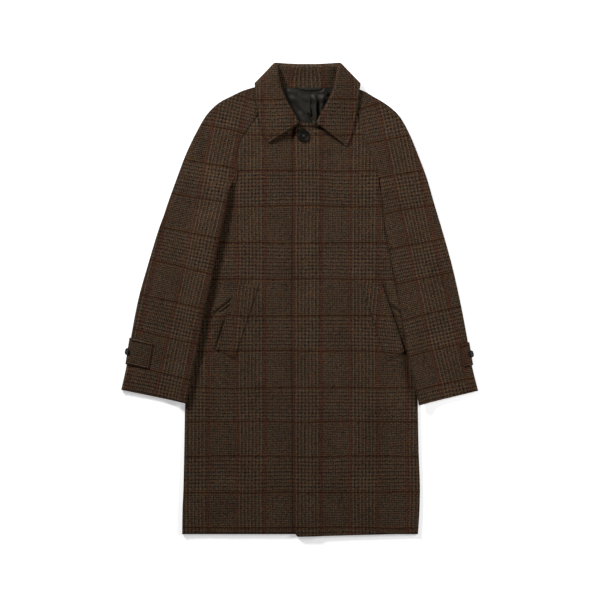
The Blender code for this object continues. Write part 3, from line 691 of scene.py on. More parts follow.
def front_height(side, out, y):
    x = side.sign * out
    if side.sign > 0:
        valley = along(FLY_VALLEY, y)
        return FRONT_TOP + FLY_RISE * (1.0 - smooth((x - FLY_FLAT) / (valley - FLY_FLAT)))
    return FRONT_TOP - UNDERLAP_DIP * smooth((x - UNDERLAP_EDGE) / UNDERLAP_RUN)


print("the fly lies", round(front_height(LEFT, 0, 400), 1), "mm above the floor")

# %% [markdown]
# A trough can be deeper than the room under a front, and then the front would cut through the
# back. Clipping it would leave a hard line, so the last function bends the height off softly
# before it gets there, as cloth does when it settles on the layer below.

# %% The face of a front, with its creases
FOLD_LINES = {side.name: [(row.inner_y, row.inner) for row in side.sleeve[:SEAM_ROW + 1]]
              for side in BOTH}
GULLIES = {           # height of the front beside the sleeve's fold, by height above the hem
    "right": [(300, -2.6), (440, -3.8), (520, -6.6), (640, -6.6), (740, -4.4), (810, -2.4),
              (850, 0)],
    "left": [(300, -3.4), (395, -3.4), (450, 0.4), (520, 1.8), (600, 2.2), (780, 2.0),
             (850, 0)],
}
GULLY_SPREAD = 17.0
GULLY_PLACE = 9.0             # the middle of it, inwards from the fold
GULLY_FROM, GULLY_RUN = 270.0, 40.0   # it starts beside the cuff
EDGE_GROOVE = 1.9             # the right front dips under the edge of the left one
EDGE_GROOVE_SPREAD = 9.0
BARE_EDGE, BARE_RUN = 6.0, 12.0       # no creases at the side edge, so that it stays clear
LOWEST_FACE = 2 * WALL + 0.3  # where a front would touch the back under it
SETTLE = 0.5
UNDER_FLAT = 3.0              # a sleeve's underarm seam lies flat for this much
UNDERARM_TOP = 742.0          # above this the sleeve's under face lies on the front


def gully(side, out, y):
    height = along(GULLIES[side.name], y) * smooth((y - GULLY_FROM) / GULLY_RUN)
    return height * bell(out - along(FOLD_LINES[side.name], y) + GULLY_PLACE, GULLY_SPREAD)


def settled(height):
    return LOWEST_FACE + SETTLE * math.log1p(math.exp((height - LOWEST_FACE) / SETTLE))


def front_face(side, out, y):
    bare = smooth((along(side.body, y) - BARE_EDGE - out) / BARE_RUN)
    height = front_height(side, out, y)
    height += (lie(side.sign * out, y, BODY_CREASES) + gully(side, out, y)) * bare
    if side.sign < 0:
        height -= EDGE_GROOVE * bell(-out - along(FRONT_EDGE_LEFT, y) + 1.0, EDGE_GROOVE_SPREAD)
    return settled(height)


def under_height(side, out, y):
    """Height of the sleeve's under face, which slopes down to the floor past the body's side."""
    height = front_height(side, out, y) + REST
    if y > UNDERARM_TOP:
        return height
    edge = along(side.body, y)
    reach = max(4.0, along(side.under, y) - edge - UNDER_FLAT)
    return height * smooth((edge + 0.8 - out + reach) / reach)


print("the pocket's crease is", round(front_face(RIGHT, 195, 517) - FRONT_TOP, 1), "mm off plain")

# %% [markdown]
# The side edge rolls down to the side seam in eight steps of a quarter circle, and the raglan
# seam, with its dent, runs from the underarm to the neck. The rows stand closer round the
# pockets, where the sharp creases are, and the columns closer at the side.


# %% One section across a front
EDGE_DEGREES = (0, 0.001, 15, 32, 47, 62, 76, 90)
SIDE_FADE = 26.0              # the side's rounding flattens out below the underarm
GROOVE_SPREAD = 2.6           # the dent beside a seam
GROOVE_DEPTH = 2.0
FRONT_ACROSS = 116
CROWDING = 1.35               # above 1, the columns stand closer at the side
HEM_ROLL, HEM_SPREAD = 1.3, 4.0
EDGE_ROLL = {"left": 3.2, "right": 0.5}       # the left front's edge turns down onto the right
EDGE_ROLL_SPREAD = 3.2


def seam_dent(distance):
    return -GROOVE_DEPTH * bell(distance, GROOVE_SPREAD)


def side_edge(edge, y, crown):
    points = []
    rounding = smooth((UNDERARM_Y - y) / SIDE_FADE)
    seam = mix(crown, FOLD_RADIUS, rounding)
    for i, degrees in enumerate(EDGE_DEGREES):
        inset, rise = rounded(degrees)
        inset = mix(FOLD_RADIUS * i / (len(EDGE_DEGREES) - 1), inset, rounding)
        points.append(Vector((edge - inset, y, mix(seam, crown, rise))))
    points[0] = points[0].lerp(points[1], clamp(SEAM / max((points[1] - points[0]).length, 0.4)))
    return points


def front_section(side, edge, edge_y, inner, inner_y, seamed):
    """Across a front from its side or raglan seam to its front or neck edge."""
    start = edge - FOLD_RADIUS
    points = side_edge(edge, edge_y, front_height(side, start, edge_y))
    for step in steps_between(0.0, 1.0, FRONT_ACROSS - len(EDGE_DEGREES) + 1)[1:]:
        t = step ** CROWDING
        out, y = mix(start, inner, t), mix(edge_y, inner_y, t)
        points.append(Vector((out, y, front_face(side, out, y))))
    for point in points:
        if seamed:
            point.z += seam_dent((point.xy - points[0].xy).length)
        point.z -= EDGE_ROLL[side.name] * bell((point.xy - points[-1].xy).length, EDGE_ROLL_SPREAD)
    for point in points[len(EDGE_DEGREES):]:
        point.z -= HEM_ROLL * bell(edge_y - side.hem[0], HEM_SPREAD)
    return points


print("points across a front:", FRONT_ACROSS + 1)

# %% [markdown]
# A front is its sections, one above the other. Near the underarm they start on the side seam and
# higher up on the raglan seam, which slants to the neck, so a section there slants too.

# %% The two fronts
POCKET_LEVELS = (404, 592)    # the rows stand closest between these heights
ROWS_BELOW, ROWS_AT_POCKET, ROWS_ABOVE = 70, 94, 30
RAGLAN_ROWS = 56
WEFT_LIE = [(20, -3.0), (100, -1.8), (181, -1.8), (262, 0.9), (342, 4.4), (425, 2.5), (506, 3.9),
            (591, 2.3), (674, 1.4), (759, -0.9), (841, -0.2), (1000, 0)]


def front_sections(side):
    """Where each section starts and ends, from the hem to the neck."""
    side_hem, edge_hem = side.hem
    levels = [(side_hem, edge_hem)] + [(13, 7)] * (side.sign > 0)
    low, high = POCKET_LEVELS
    levels += [(y, y) for y in steps_between(16, low, ROWS_BELOW)
               + steps_between(low, high, ROWS_AT_POCKET)[1:]
               + steps_between(high, UNDERARM_Y, ROWS_ABOVE)[1:]]
    made = [(along(side.body, y), y, along(side.front_edge, edge_y), edge_y)
            for y, edge_y in levels]
    hidden = [(UNDERARM_Y, 232, UNDERARM_Y)] + side.hidden_edge
    top = row_at(side.sleeve, SEAM_ROW)
    hidden.append((top.inner_y, top.inner, side.front_top[0][1]))
    for low, high in zip(hidden, hidden[1:]):
        for t in steps_between(0, 1, 4)[1:]:
            edge_y, edge, inner_y = (mix(a, b, t) for a, b in zip(low, high))
            made.append((edge, edge_y, along(side.front_edge, inner_y), inner_y))
    seamed_from = len(made) - 2
    tops_x, tops_y = ([(i + SEAM_ROW, top[c]) for i, top in enumerate(side.front_top)]
                      for c in (0, 1))
    for t in steps_between(SEAM_ROW, LAST_ROW, RAGLAN_ROWS)[1:]:
        row = row_at(side.sleeve, t)
        made.append((row.inner, row.inner_y, along(tops_x, t), along(tops_y, t)))
    return made, seamed_from


def front_chart(side, points):
    """Places on the uncut cloth: the length along the section, counted from the front edge."""
    charts = [(side.sign * point.x, point.y + along(WEFT_LIE, point.y)) for point in points]
    if abs(points[0].y - points[-1].y) > 1.0:
        return charts
    lengths = path_lengths(points)
    return [(side.sign * (points[-1].x + lengths[-1] - length), v)
            for length, (_, v) in zip(lengths, charts)]


def make_front(side):
    sections, seamed_from = front_sections(side)
    rows, charts = [], []
    for i, section in enumerate(sections):
        points = front_section(side, *section, seamed=i >= seamed_from)
        charts.append(front_chart(side, points))
        rows.append(to_side(side, points))
    lay_sheet(side.name + "_front", rows, charts, WALL, turned=side.sign > 0)


for side in BOTH:
    make_front(side)

# %% [markdown]
# Each raglan sleeve is two panels sewn along the outer edge. The front one rolls over at the
# inner side and lies on the coat, which leaves a deep shadow beside the body. The grain follows
# the arm, so the check leans on the sleeve, and it's worked out from a table of that lean.


# %% The grain of a sleeve
GRAIN_START = 300.0
GRAIN_STEP = 20.0
GRAIN_OUT = 300.0


def grain_lines(side):
    """By height: how far out the grain line lies that starts at GRAIN_OUT, and its length."""
    outs, lengths = [(GRAIN_START, GRAIN_OUT)], [(GRAIN_START, 0.0)]
    y, out, length = GRAIN_START, GRAIN_OUT, 0.0
    while y < 1060:
        angle = math.radians(along(side.grain.lean, y))
        y += GRAIN_STEP
        out -= GRAIN_STEP * math.tan(angle)
        length += GRAIN_STEP / math.cos(angle)
        outs.append((y, out))
        lengths.append((y, length))
    return outs, lengths


GRAIN_LINES = {side.name: grain_lines(side) for side in BOTH}


def sleeve_chart(side, out, y):
    """Where a place on the sleeve lies on the uncut cloth."""
    outs, lengths = GRAIN_LINES[side.name]
    angle = math.radians(along(side.grain.lean, y))
    across = (out - along(outs, y)) * math.cos(angle)
    up = along(lengths, y) - (out - along(outs, y)) * math.sin(angle)
    return (side.sign * (across + side.grain.shift_u), up + side.grain.shift_v)


def crossing(row, line):
    length = math.hypot(row.outer - row.inner, row.outer_y - row.inner_y)
    low, high = 0.0, 1.2
    for _ in range(30):
        middle = (low + high) / 2
        if mix(row.outer, row.inner, middle) > line(mix(row.outer_y, row.inner_y, middle)):
            low = middle
        else:
            high = middle
    return low * length


print("the grain of the right sleeve is", round(GRAIN_LINES["right"][1][-1][1]), "mm long")

# %% [markdown]
# A row across a sleeve climbs from the outer fold, lies on the body, turns over in the inner
# fold and comes back underneath to the underarm seam. The inner fold stands up on the right
# sleeve. On the left one only its lowest part does, and higher up it sinks into the front. Above
# the armpit there is no fold, and the row ends at the raglan seam.

# %% One row across a sleeve
SLEEVE_DEPTH = 2 * FOLD_RADIUS
TIGHTEST_FOLD = 3.2
SEAM_TUCK = 0.7               # a seam's edges meet, so that no light shows through
CLIMB_PAST, CLIMB_END, SHORTEST_CLIMB = 30.0, 7.0, 40.0
FOLD_LOFT = 4.6               # a sleeve's fold stands up beside the body
LOFT_PLACE, LOFT_SPREAD = 16.0, 22.0
SOFT_FOLD = 3.4               # the upper part of the left sleeve's fold sinks into the body
SOFT_RUN = 45.0
TOP_POINTS, TURN_POINTS, UNDER_POINTS, BACK_POINTS = 60, 12, 14, 16


def back_inner(side, y):
    return along(side.under if y < UNDERARM_TOP else side.back_seam, y)


class SleeveLine:
    """One row across a sleeve: a straight line in plan from its outer to its inner edge."""

    def __init__(self, side, t):
        self.side = side
        self.t = t
        self.row = row_at(side.sleeve, t)
        self.start = Vector((self.row.outer, self.row.outer_y))
        end = Vector((self.row.inner, self.row.inner_y))
        self.width = (end - self.start).length
        self.along = (end - self.start) / self.width

    def spot(self, reach):
        return self.start + self.along * reach

    def place(self, reach, height):
        spot = self.spot(reach)
        return Vector((spot.x, spot.y, height))

    def lift(self, reach):
        spot = self.spot(reach)
        return collar_lift(spot.x, spot.y, self.side.sign)

    def plain_top(self, reach):
        past_side = along(self.side.body, self.row.inner_y) - self.row.inner
        climb_from = min(past_side + CLIMB_PAST, 0.9 * self.width)
        climb_to = max(0.0, min(past_side - CLIMB_END, climb_from - SHORTEST_CLIMB))
        left = self.width - reach
        return mix(SLEEVE_DEPTH + self.lift(reach), self.row.inner_top,
                   smooth((climb_from - left) / (climb_from - climb_to)))

    def top(self, reach):
        """The upper face with its creases and, above the armpit, the dent at the seam."""
        spot, near_fold = self.spot(reach), self.width - reach
        inwards = smooth((reach - 4.0) / 14.0)
        folded = smooth((SEAM_ROW - 0.2 - self.t) / 1.2) * inwards
        loft = FOLD_LOFT * bell(near_fold - LOFT_PLACE, LOFT_SPREAD)
        if self.side.sign > 0:
            loft = mix(loft, -SOFT_FOLD * smooth((SOFT_RUN - near_fold) / SOFT_RUN),
                       smooth((self.t - 1.5) / 1.3))
        height = self.plain_top(reach) + loft * folded
        height += lie(self.side.sign * spot.x, spot.y, SLEEVE_CREASES) * inwards
        return height + seam_dent(near_fold) * smooth((self.t - SEAM_ROW + 0.4) / 0.4)

    def edge(self, degrees):
        reach, rise = rounded(degrees)
        middle = FOLD_RADIUS + self.lift(reach)
        if degrees < 0:
            return self.place(reach, middle - rise * FOLD_RADIUS)
        return self.place(reach, mix(middle, self.plain_top(reach), rise))

    def front(self):
        points = [self.edge(degrees) for degrees in EDGE_DEGREES]
        points[0] = points[0].lerp(points[1], 0.12)
        if self.t >= SEAM_ROW:
            return points + [self.place(r, self.top(r)) for r in steps_between(
                FOLD_RADIUS, self.width + SEAM_TUCK, TOP_POINTS)[1:]]
        under = under_height(self.side, self.row.inner + FOLD_RADIUS, self.row.inner_y)
        drop = max(0.8, self.row.inner_top - under)
        radius = max(TIGHTEST_FOLD, drop / 2)
        turn = math.acos(max(-1.0, 1.0 - drop / radius))
        last = self.width - radius
        points += [self.place(r, self.top(r))
                   for r in steps_between(FOLD_RADIUS, last, TOP_POINTS)[1:]]
        top = points[-1].z
        squeeze = (top - under) / drop
        for angle in steps_between(0.0, turn, TURN_POINTS)[1:]:
            points.append(self.place(last + radius * math.sin(angle),
                                     top - radius * (1.0 - math.cos(angle)) * squeeze))
        tucked = smooth((SEAM_ROW - 1 - self.t) / 0.6)
        end = mix(last, crossing(self.row, lambda y: along(self.side.under, y)), tucked)
        if last - end > 2 * UNDER_FLAT:
            for reach in steps_between(last, end + UNDER_FLAT, UNDER_POINTS)[1:] + [end]:
                spot = self.spot(reach)
                points.append(self.place(reach, under_height(self.side, spot.x, spot.y)))
        return points

    def back(self):
        """Across the back part, from the outer seam to the line where it meets the back."""
        points = [self.edge(-degrees) for degrees in EDGE_DEGREES]
        points[0] = points[0].lerp(points[1], 0.12)
        end = crossing(self.row, lambda y: back_inner(self.side, y)) + SEAM_TUCK
        return points + [self.place(reach, self.lift(reach))
                         for reach in steps_between(FOLD_RADIUS, end, BACK_POINTS)[1:]]

    def charts(self, points, around=1):
        """Places on the uncut cloth, by the length along the row from the outer seam."""
        first = Vector(sleeve_chart(self.side, self.row.outer, self.row.outer_y))
        last = Vector(sleeve_chart(self.side, self.row.inner, self.row.inner_y))
        step = (last - first) / self.width
        return [tuple(first + step * length * around) for length in path_lengths(points)]


print("the cuff is", round(SleeveLine(RIGHT, 0).width), "mm across")

# %% [markdown]
# The front part and the back part of a sleeve share the same rows, so they meet at the outer
# seam. The points of the front part are shared out again along each row, because the fold and
# the long flat stretch need them in different numbers.

# %% The sleeves
SLEEVE_ROWS = 190
SLEEVE_ACROSS = 96
CUFF_ROLL, CUFF_SPREAD = 1.2, 0.09    # in millimetres, and in rows
UNROLLED = 20                 # points under the fold, which the cuff's roll leaves alone


def make_sleeve(side):
    fronts, backs, front_charts, back_charts = [], [], [], []
    outer = len(EDGE_DEGREES)
    for t in steps_between(0, LAST_ROW, SLEEVE_ROWS):
        line = SleeveLine(side, t)
        front, back = line.front(), line.back()
        front = front[:outer] + share_out(front[outer - 1:], SLEEVE_ACROSS)[1:]
        for point in front[outer:-UNROLLED]:
            point.z -= CUFF_ROLL * bell(t, CUFF_SPREAD)
        fronts.append(to_side(side, front))
        backs.append(to_side(side, back))
        front_charts.append(line.charts(front))
        back_charts.append(line.charts(back, around=-1))
    lay_sheet(side.name + "_sleeve_front", fronts, front_charts, WALL, turned=side.sign > 0)
    lay_sheet(side.name + "_sleeve_back", backs, back_charts, WALL, turned=side.sign < 0)


for side in BOTH:
    make_sleeve(side)

# %% [markdown]
# The back lies on the floor under everything. Only its edges show from the side, and its whole
# face from below, so it's a plain sheet with the same rolled side edges. At the top it arches up
# behind the neck, and the collar lifts it.


# %% The back
BACK_HEM, BACK_TOP = 3, 1023
NECK_ARCH = 8.0
NECK_ARCH_FROM = 940.0
BACK_ROWS_BELOW, BACK_ROWS_ABOVE, HALF_BACK_ACROSS = 110, 48, 26


def neck_arch(side, out, y):
    reach = along(side.back_seam, y)
    share = abs(side.sign * out - COLLAR_CENTRE) / (reach - side.sign * COLLAR_CENTRE)
    return 1.0 - min(1.0, share) ** 4


def make_back():
    rows = []
    for y in (steps_between(BACK_HEM, UNDERARM_Y, BACK_ROWS_BELOW)
              + steps_between(UNDERARM_Y, BACK_TOP, BACK_ROWS_ABOVE)[1:]):
        arch = NECK_ARCH * smooth((y - NECK_ARCH_FROM) / (BACK_TOP - NECK_ARCH_FROM))
        halves = []
        for side in BOTH:
            edge = along(side.body if y <= UNDERARM_Y else side.back_seam, y)
            points = side_edge(edge, y, collar_lift(edge, y, side.sign))
            for out in steps_between(edge - FOLD_RADIUS, 0.0, HALF_BACK_ACROSS)[1:]:
                bent_y = y + arch * neck_arch(side, out, y)
                points.append(Vector((out, bent_y, collar_lift(out, bent_y, side.sign))))
            halves.append(to_side(side, points))
        rows.append(halves[0] + halves[1][-2::-1])
    lay_sheet("back", rows, [flat_chart(row) for row in rows], WALL, turned=True)


make_back()

# %% [markdown]
# The collar has a stand that rises from the neck seam and a fall that rolls over it. At the back
# of the neck the fall lies behind, and at the sides it turns over to the front, down to the two
# points. The table gives one half of it, from the point round to the centre back: where the neck
# seam, the roll and the fall's edge are, how big the roll is and how far it has turned.

# %% The draft of the collar
CollarRow = namedtuple(
    "CollarRow", "neck neck_y neck_z roll roll_y roll_z leaf leaf_y leaf_z fold turn")
COLLAR = [CollarRow(*row) for row in [
    (30, 940, 13.6, 19, 949, 18.0, 90, 902, 13.0, 4.3, 0),
    (41, 953, 13.6, 28, 966, 18.5, 100, 922, 13.0, 4.4, 0),
    (56, 971, 13.6, 41, 989, 18.7, 108, 954, 13.6, 4.6, 0),
    (70, 993, 13.6, 53, 1013, 18.7, 115, 987, 14.8, 4.8, 0),
    (79, 1012, 13.6, 63, 1044, 18.8, 118, 1014, 16.2, 5.2, 18),
    (85, 1025, 12.6, 67, 1070, 19.2, 121, 1033, 15.6, 6.0, 50),
    (86, 1028, 10.6, 69, 1084, 16.4, 122, 1042, 8.4, 6.8, 90),
    (77, 1030, 9.6, 61, 1088, 9.6, 112, 1036, 0.2, 8.4, 142),
    (54, 1031, 9.2, 41, 1087, 9.2, 70, 1023, 0.0, 8.9, 172),
    (27, 1031, 9.2, 20, 1086, 9.1, 34, 1020, 0.0, 9.0, 180),
    (0, 1031, 9.2, 0, 1086, 9.0, 0, 1020, 0.0, 9.0, 180),
]]
POINT_DROP = 8.0
COLLAR_WALL = 2.6
SEAM_LIP = 2.4
STAND_END = [(-19, 944.5, 13.8), (-17, 953, 14.4)]
ROLL_LOFT = 5.0               # the roll stands up round the open neck
POINT_ROUND = 5.0
RIM_WIDTH = 6.0
RIM_HEIGHT = 1.2
RIM_DENT, RIM_EDGE = 0.9, 1.1         # the stitches' dent, and the drop at the very edge
FALL_ACROSS = 34
STAND_POINTS = 12
COLLAR_STEPS_A_ROW = 9


def rim(distance):
    """The raised rim inside an edge and the dent of its stitching."""
    ridge = RIM_HEIGHT * smooth(distance / 1.5) * smooth((RIM_WIDTH - distance) / 2.0)
    return ridge - RIM_DENT * bell(distance - RIM_WIDTH, 1.3) - RIM_EDGE * bell(distance, 1.0)


print("sections drafted for half a collar:", len(COLLAR))

# %% [markdown]
# A section goes up the stand, round the roll and down the fall. Edge stitching leaves a raised
# rim round the fall, and the points are slightly rounded.

# %% Sections of the collar
def fall_body(row, mirror, from_point, start, leaf):
    """The flat part of the fall, with its rim and the uneven lie of the cloth."""
    body = share_out([start, leaf], FALL_ACROSS, 0.0)
    length = (leaf - start).length
    flat_side = smooth((3.0 - row.turn / 30.0) / 2.0)
    for i, point in enumerate(body):
        left = length * (1 - i / FALL_ACROSS)
        wave = lie(mirror * point.x, point.y + 400.0) * 0.6 * smooth(left / 20) * smooth(i / 6)
        point.z += flat_side * ((rim(left) + rim(from_point)) * smooth(length / 20) + wave)
    return body[1:]


def collar_section(row, mirror, from_point):
    """Across the collar: up the stand from the neck seam, round the roll, down the fall."""
    neck = Vector((row.neck, row.neck_y, row.neck_z))
    loft = ROLL_LOFT * smooth((120.0 - row.turn) / 90.0)
    roll = Vector((row.roll, row.roll_y, row.roll_z + loft))
    leaf = Vector((row.leaf, row.leaf_y, row.leaf_z))
    away = Vector((leaf.x - roll.x, leaf.y - roll.y, 0.0)).normalized()
    inward = Vector((away.y, -away.x, 0.0))
    turn = math.radians(row.turn)
    to_stand = Vector((0, 0, -1)) * math.cos(turn) + inward * math.sin(turn)
    centre = roll + away * row.fold
    stand_top = centre + to_stand * row.fold
    bend = stand_top + away * (stand_top - neck).length * 0.5
    bend.z = mix(neck.z, stand_top.z, 0.15)
    stand = [neck.lerp(bend, i / STAND_POINTS).lerp(bend.lerp(stand_top, i / STAND_POINTS),
                                                    i / STAND_POINTS) for i in range(10)]
    stand += [stand_top + away * 2 * SEAM_LIP, stand_top + away * SEAM_LIP]
    fall = [stand[-1]]
    for degrees in range(90, -91, -15):
        angle = math.radians(degrees)
        fall.append(centre - away * row.fold * math.cos(angle)
                    + to_stand * row.fold * math.sin(angle))
    leaf = leaf - away * POINT_ROUND * (1.0 - smooth(from_point / 7.0)) ** 2
    fall += fall_body(row, mirror, from_point, fall[-1], leaf)
    return [[Vector((COLLAR_CENTRE + mirror * p.x, p.y, p.z)) for p in part]
            for part in (stand, fall)]


def leaf_chart(points):
    """Places on the uncut cloth, counted back from the last point of the section."""
    lengths = path_lengths(points)
    last, before = points[-1], points[-4]
    run = Vector((last.x - before.x, last.y - before.y)).normalized()
    return [tuple(last.xy - run * (lengths[-1] - length)) for length in lengths]


print("points across the fall:", FALL_ACROSS + 14)

# %% [markdown]
# The sections follow each other from the right point round the neck to the left one, which lies a
# little lower because it laps over. The stand goes on to its lapped end at the top button.

# %% The collar
def make_collar():
    stands, falls, stand_charts, fall_charts = [], [], [], []
    first = COLLAR[0]
    steps = steps_between(0.0, 1.0, 24)[:-1] + steps_between(1, 10, 9 * COLLAR_STEPS_A_ROW)
    for t, mirror in [(t, -1) for t in steps] + [(t, 1) for t in steps[-2::-1]]:
        row = row_at(COLLAR, t)
        point_y = first.leaf_y
        if mirror > 0:
            row = row._replace(leaf_y=row.leaf_y - POINT_DROP * smooth((3.0 - t) / 3.0))
            point_y -= POINT_DROP
        from_point = math.hypot(row.leaf - first.leaf, row.leaf_y - point_y)
        stand, fall = collar_section(row, mirror, from_point)
        stands.append(stand)
        falls.append(fall)
        fall_charts.append(leaf_chart(fall))
        stand_charts.append([(stand[-1].x, stand[0].y + length)
                             for length in path_lengths(stand)])
    lapped = [Vector((COLLAR_CENTRE + out, y, z)) for out, y, z in STAND_END]
    end = share_out(lapped, len(stands[0]) - 1, 0.0)
    last = stands[-1]
    for t in steps_between(0, 1, 12)[1:]:
        stands.append([a.lerp(b, t) for a, b in zip(last, end)])
        stand_charts.append(flat_chart(stands[-1]))
    for node, columns, charts in (("collar_fall", falls, fall_charts),
                                  ("collar_stand", stands, stand_charts)):
        lay_sheet(node, [list(row) for row in zip(*columns)],
                  [list(row) for row in zip(*charts)], COLLAR_WALL)


make_collar()

# %% [markdown]
# A slanted welt covers each pocket. Its inner edge is sewn to the front, and its outer edge is
# free, where the hand goes in. It is laid between its four corners, a rim along each stitched
# edge, and it sinks into the front where it is sewn down.

# %% The pocket welts
WELT_WALL = 2.4
WELT_TURN = math.radians(5.0)
WELT_SHIFT = Vector((2.0, 3.0))
WELT_RIMS = (1.0, 0.9, 0.4, 0.7)      # how strong: free edge, sewn edge, lower end, upper end
SEWN_SINK, CORNER_SINK = 2.4, 1.7
WELT_ACROSS, WELT_UP = 22, 64


def welt_height(side, spot, s, t, edges):
    height = front_height(side, spot.x, spot.y) + SEAM + WALL
    height += lie(side.sign * spot.x, spot.y)
    height += sum(rim(edge) * share for edge, share in zip(edges, WELT_RIMS))
    height -= SEWN_SINK * bell(edges[1], 5.0)
    height -= CORNER_SINK * smooth((t - 0.55) / 0.3) * bell(edges[0], 7.0)
    return height - CORNER_SINK * bell(edges[2], 5.0)


def make_welt(side):
    upper_outer, upper_inner, lower_outer, lower_inner = [Vector(c) for c in side.welt]
    middle = (upper_outer + lower_inner) / 2
    wide, tall = (upper_outer - upper_inner).length, (upper_outer - lower_outer).length
    turn = Matrix.Rotation(side.sign * WELT_TURN, 2)
    rows, charts = [], []
    for t in steps_between(0.0, 1.0, WELT_UP):
        row, chart_row = [], []
        for s in steps_between(0.0, 1.0, WELT_ACROSS):
            spot = lower_outer.lerp(upper_outer, t).lerp(lower_inner.lerp(upper_inner, t), s)
            edges = (s * wide, (1 - s) * wide, t * tall, (1 - t) * tall)
            row.append(Vector((side.sign * spot.x, spot.y, welt_height(side, spot, s, t, edges))))
            place = turn @ (spot - middle) + middle
            chart_row.append((side.sign * place.x + WELT_SHIFT.x, place.y + WELT_SHIFT.y))
        rows.append(row)
        charts.append(chart_row)
    lay_sheet(side.name + "_pocket_welt", rows, charts, WELT_WALL, turned=side.sign > 0)


for side in BOTH:
    make_welt(side)

# %% [markdown]
# A strap wraps the outer edge of each cuff, with a button on the fold. It follows the sleeve's
# own row, moved out along its normal by the strap's thickness, so it can't cut into the sleeve.
# Its end and its lower edge are pressed down onto the cuff.

# %% The cuff straps
STRAP_WALL = 2.6
STRAP_GAP = 0.7
STRAP_TALL = 60.0
STRAP_UP, STRAP_ACROSS = 30, 46
STRAP_SHIFT = (11.0, 9.0)
END_SINK, EDGE_SINK, SINK_SPREAD = 1.6, 1.4, 4.0
FLAT_FROM = 12.0              # past the fold, the strap lies flat and shows its rims


def strap_section(side, t):
    line = SleeveLine(side, t)
    path = [line.edge(degrees) for degrees in range(-25, 91, 10)] + [line.edge(90)]
    path += [line.place(r, line.top(r)) for r in steps_between(FOLD_RADIUS, side.strap.reach, 24)]
    path = share_out(path, STRAP_ACROSS)
    run_out = Vector((line.along.x, line.along.y, 0.0))
    raised = []
    for i, point in enumerate(path):
        step = path[min(i + 1, len(path) - 1)] - path[max(i - 1, 0)]
        normal = (run_out * -step.z + Vector((0, 0, step.dot(run_out)))).normalized()
        raised.append(point + normal * (STRAP_WALL + STRAP_GAP))
    return line, raised


def make_strap(side):
    rows, charts = [], []
    for up in steps_between(0.0, 1.0, STRAP_UP):
        line, points = strap_section(side, mix(side.strap.low_row, side.strap.high_row, up))
        lengths = path_lengths(points)
        for point, length in zip(points, lengths):
            edges = (lengths[-1] - length, STRAP_TALL * up, STRAP_TALL * (1 - up))
            if length > FLAT_FROM:
                point.z += sum(rim(edge) for edge in edges)
                point.z -= (END_SINK * bell(edges[0], SINK_SPREAD)
                            + EDGE_SINK * bell(edges[1], SINK_SPREAD))
        rows.append(to_side(side, points))
        charts.append([(u + STRAP_SHIFT[0], v + STRAP_SHIFT[1]) for u, v in line.charts(points)])
    lay_sheet(side.name + "_cuff_strap", rows, charts, STRAP_WALL, turned=side.sign > 0)


for side in BOTH:
    make_strap(side)

# %% [markdown]
# The lining shows inside the neck: a dark satin with soft wrinkles that hang from the neck seam.
# Satin floats its threads on the surface, so it has a narrow gloss and a fine rib in the bump.
# Its colour carries painted light and shade of its folds, in soft lighter and darker patches.


# %% The lining's satin
def make_satin(name):
    material, shader = new_material(name, sheen=0.01, sheen_tint=(0.8, 0.75, 0.65), specular=0.14)
    chart = Shade(material.node_tree).node("ShaderNodeUVMap")
    threads = chart.node("ShaderNodeTexWave", {"bands_direction": "X"},
                         {"Vector": chart, "Scale": 420.0, "Distortion": 1.2, "Detail": 2.0})
    painted_fold_shade = cloud(chart, 22.0, 2.0)
    # Painted light and shade of the satin's folds: soft lighter and darker patches in the base
    # colour.
    feed(shader, "Base Color", painted_fold_shade.tint((0.0070, 0.0062, 0.0045, 1), (0.0215, 0.0185, 0.0143, 1)))
    feed(shader, "Roughness", 0.46 + painted_fold_shade * 0.14)
    feed(shader, "Normal", chart.node("ShaderNodeBump", {}, {
        "Strength": 0.12, "Distance": 0.0003, "Height": threads}))
    return material


satin = make_satin("lining_satin")
print("satin nodes:", len(satin.node_tree.nodes))

# %% [markdown]
# The lining is a sheet between the neck seams, wider towards the top, and its wrinkles are rows
# of a table like the creases. A folded strip of the same satin, sewn at both ends, is the loop
# that hangs the coat up: it bows up and forward between its ends.

# %% The lining and the hanger loop
LINING = [(924, 14), (945, 24), (965, 38), (985, 48), (1005, 60), (1020, 68), (1030, 66)]
LINING_WALL = 1.0
WRINKLES = [Crease(*row) for row in [
    (-21, 1010, 17, 972, 9, 2.4), (22, 1012, 27, 957, 2.4, -3.2),
    (31, 1012, 36, 960, 4, 2.8), (38, 1013, 45, 962, 2.8, -2.6),
    (50, 1026, 62, 1014, 4, 2.6), (52, 1012, 48, 985, 5, 1.6),
    (16, 971, 28, 955, 2.4, -2.4), (-30, 1024, -4, 1018, 5, 1.8),
    (-10, 1030, 48, 1027, 3, -2.2), (-12, 990, 8, 962, 5, -1.4),
    (0, 1016, 44, 1016, 5, -1.2), (-2, 975, 12, 950, 4, 1.6),
]]
WRINKLE_GAIN, LINING_LIFT = 1.5, 1.8
LINING_ACROSS, LINING_UP = 70, 64
LOOP_X, LOOP_Y, LOOP_Z = 20.0, 1030.5, 10.4
LOOP_HALF_LENGTH = 27.0
LOOP_WIDTH = 6.0
LOOP_WALL = 1.2
LOOP_BOW, LOOP_RISE, LOOP_PAD = 2.5, 0.8, 0.5


def make_lining():
    rows = []
    for y in steps_between(LINING[0][0], LINING[-1][0], LINING_UP):
        half = along(LINING, y)
        row = []
        for across in steps_between(-half, half, LINING_ACROSS):
            x = COLLAR_CENTRE + across
            wrinkle = sum(crease_height(crease, x, y) for crease in WRINKLES)
            height = WALL + collar_lift(x, y + NECK_ARCH, 1) + REST + LINING_WALL + 0.4
            height += (WRINKLE_GAIN * wrinkle + LINING_LIFT) * smooth((half - abs(across)) / 8.0)
            row.append(Vector((x, y, height)))
        rows.append(row)
    lay_sheet("neck_lining", rows, [flat_chart(row) for row in rows], LINING_WALL,
              material=satin)


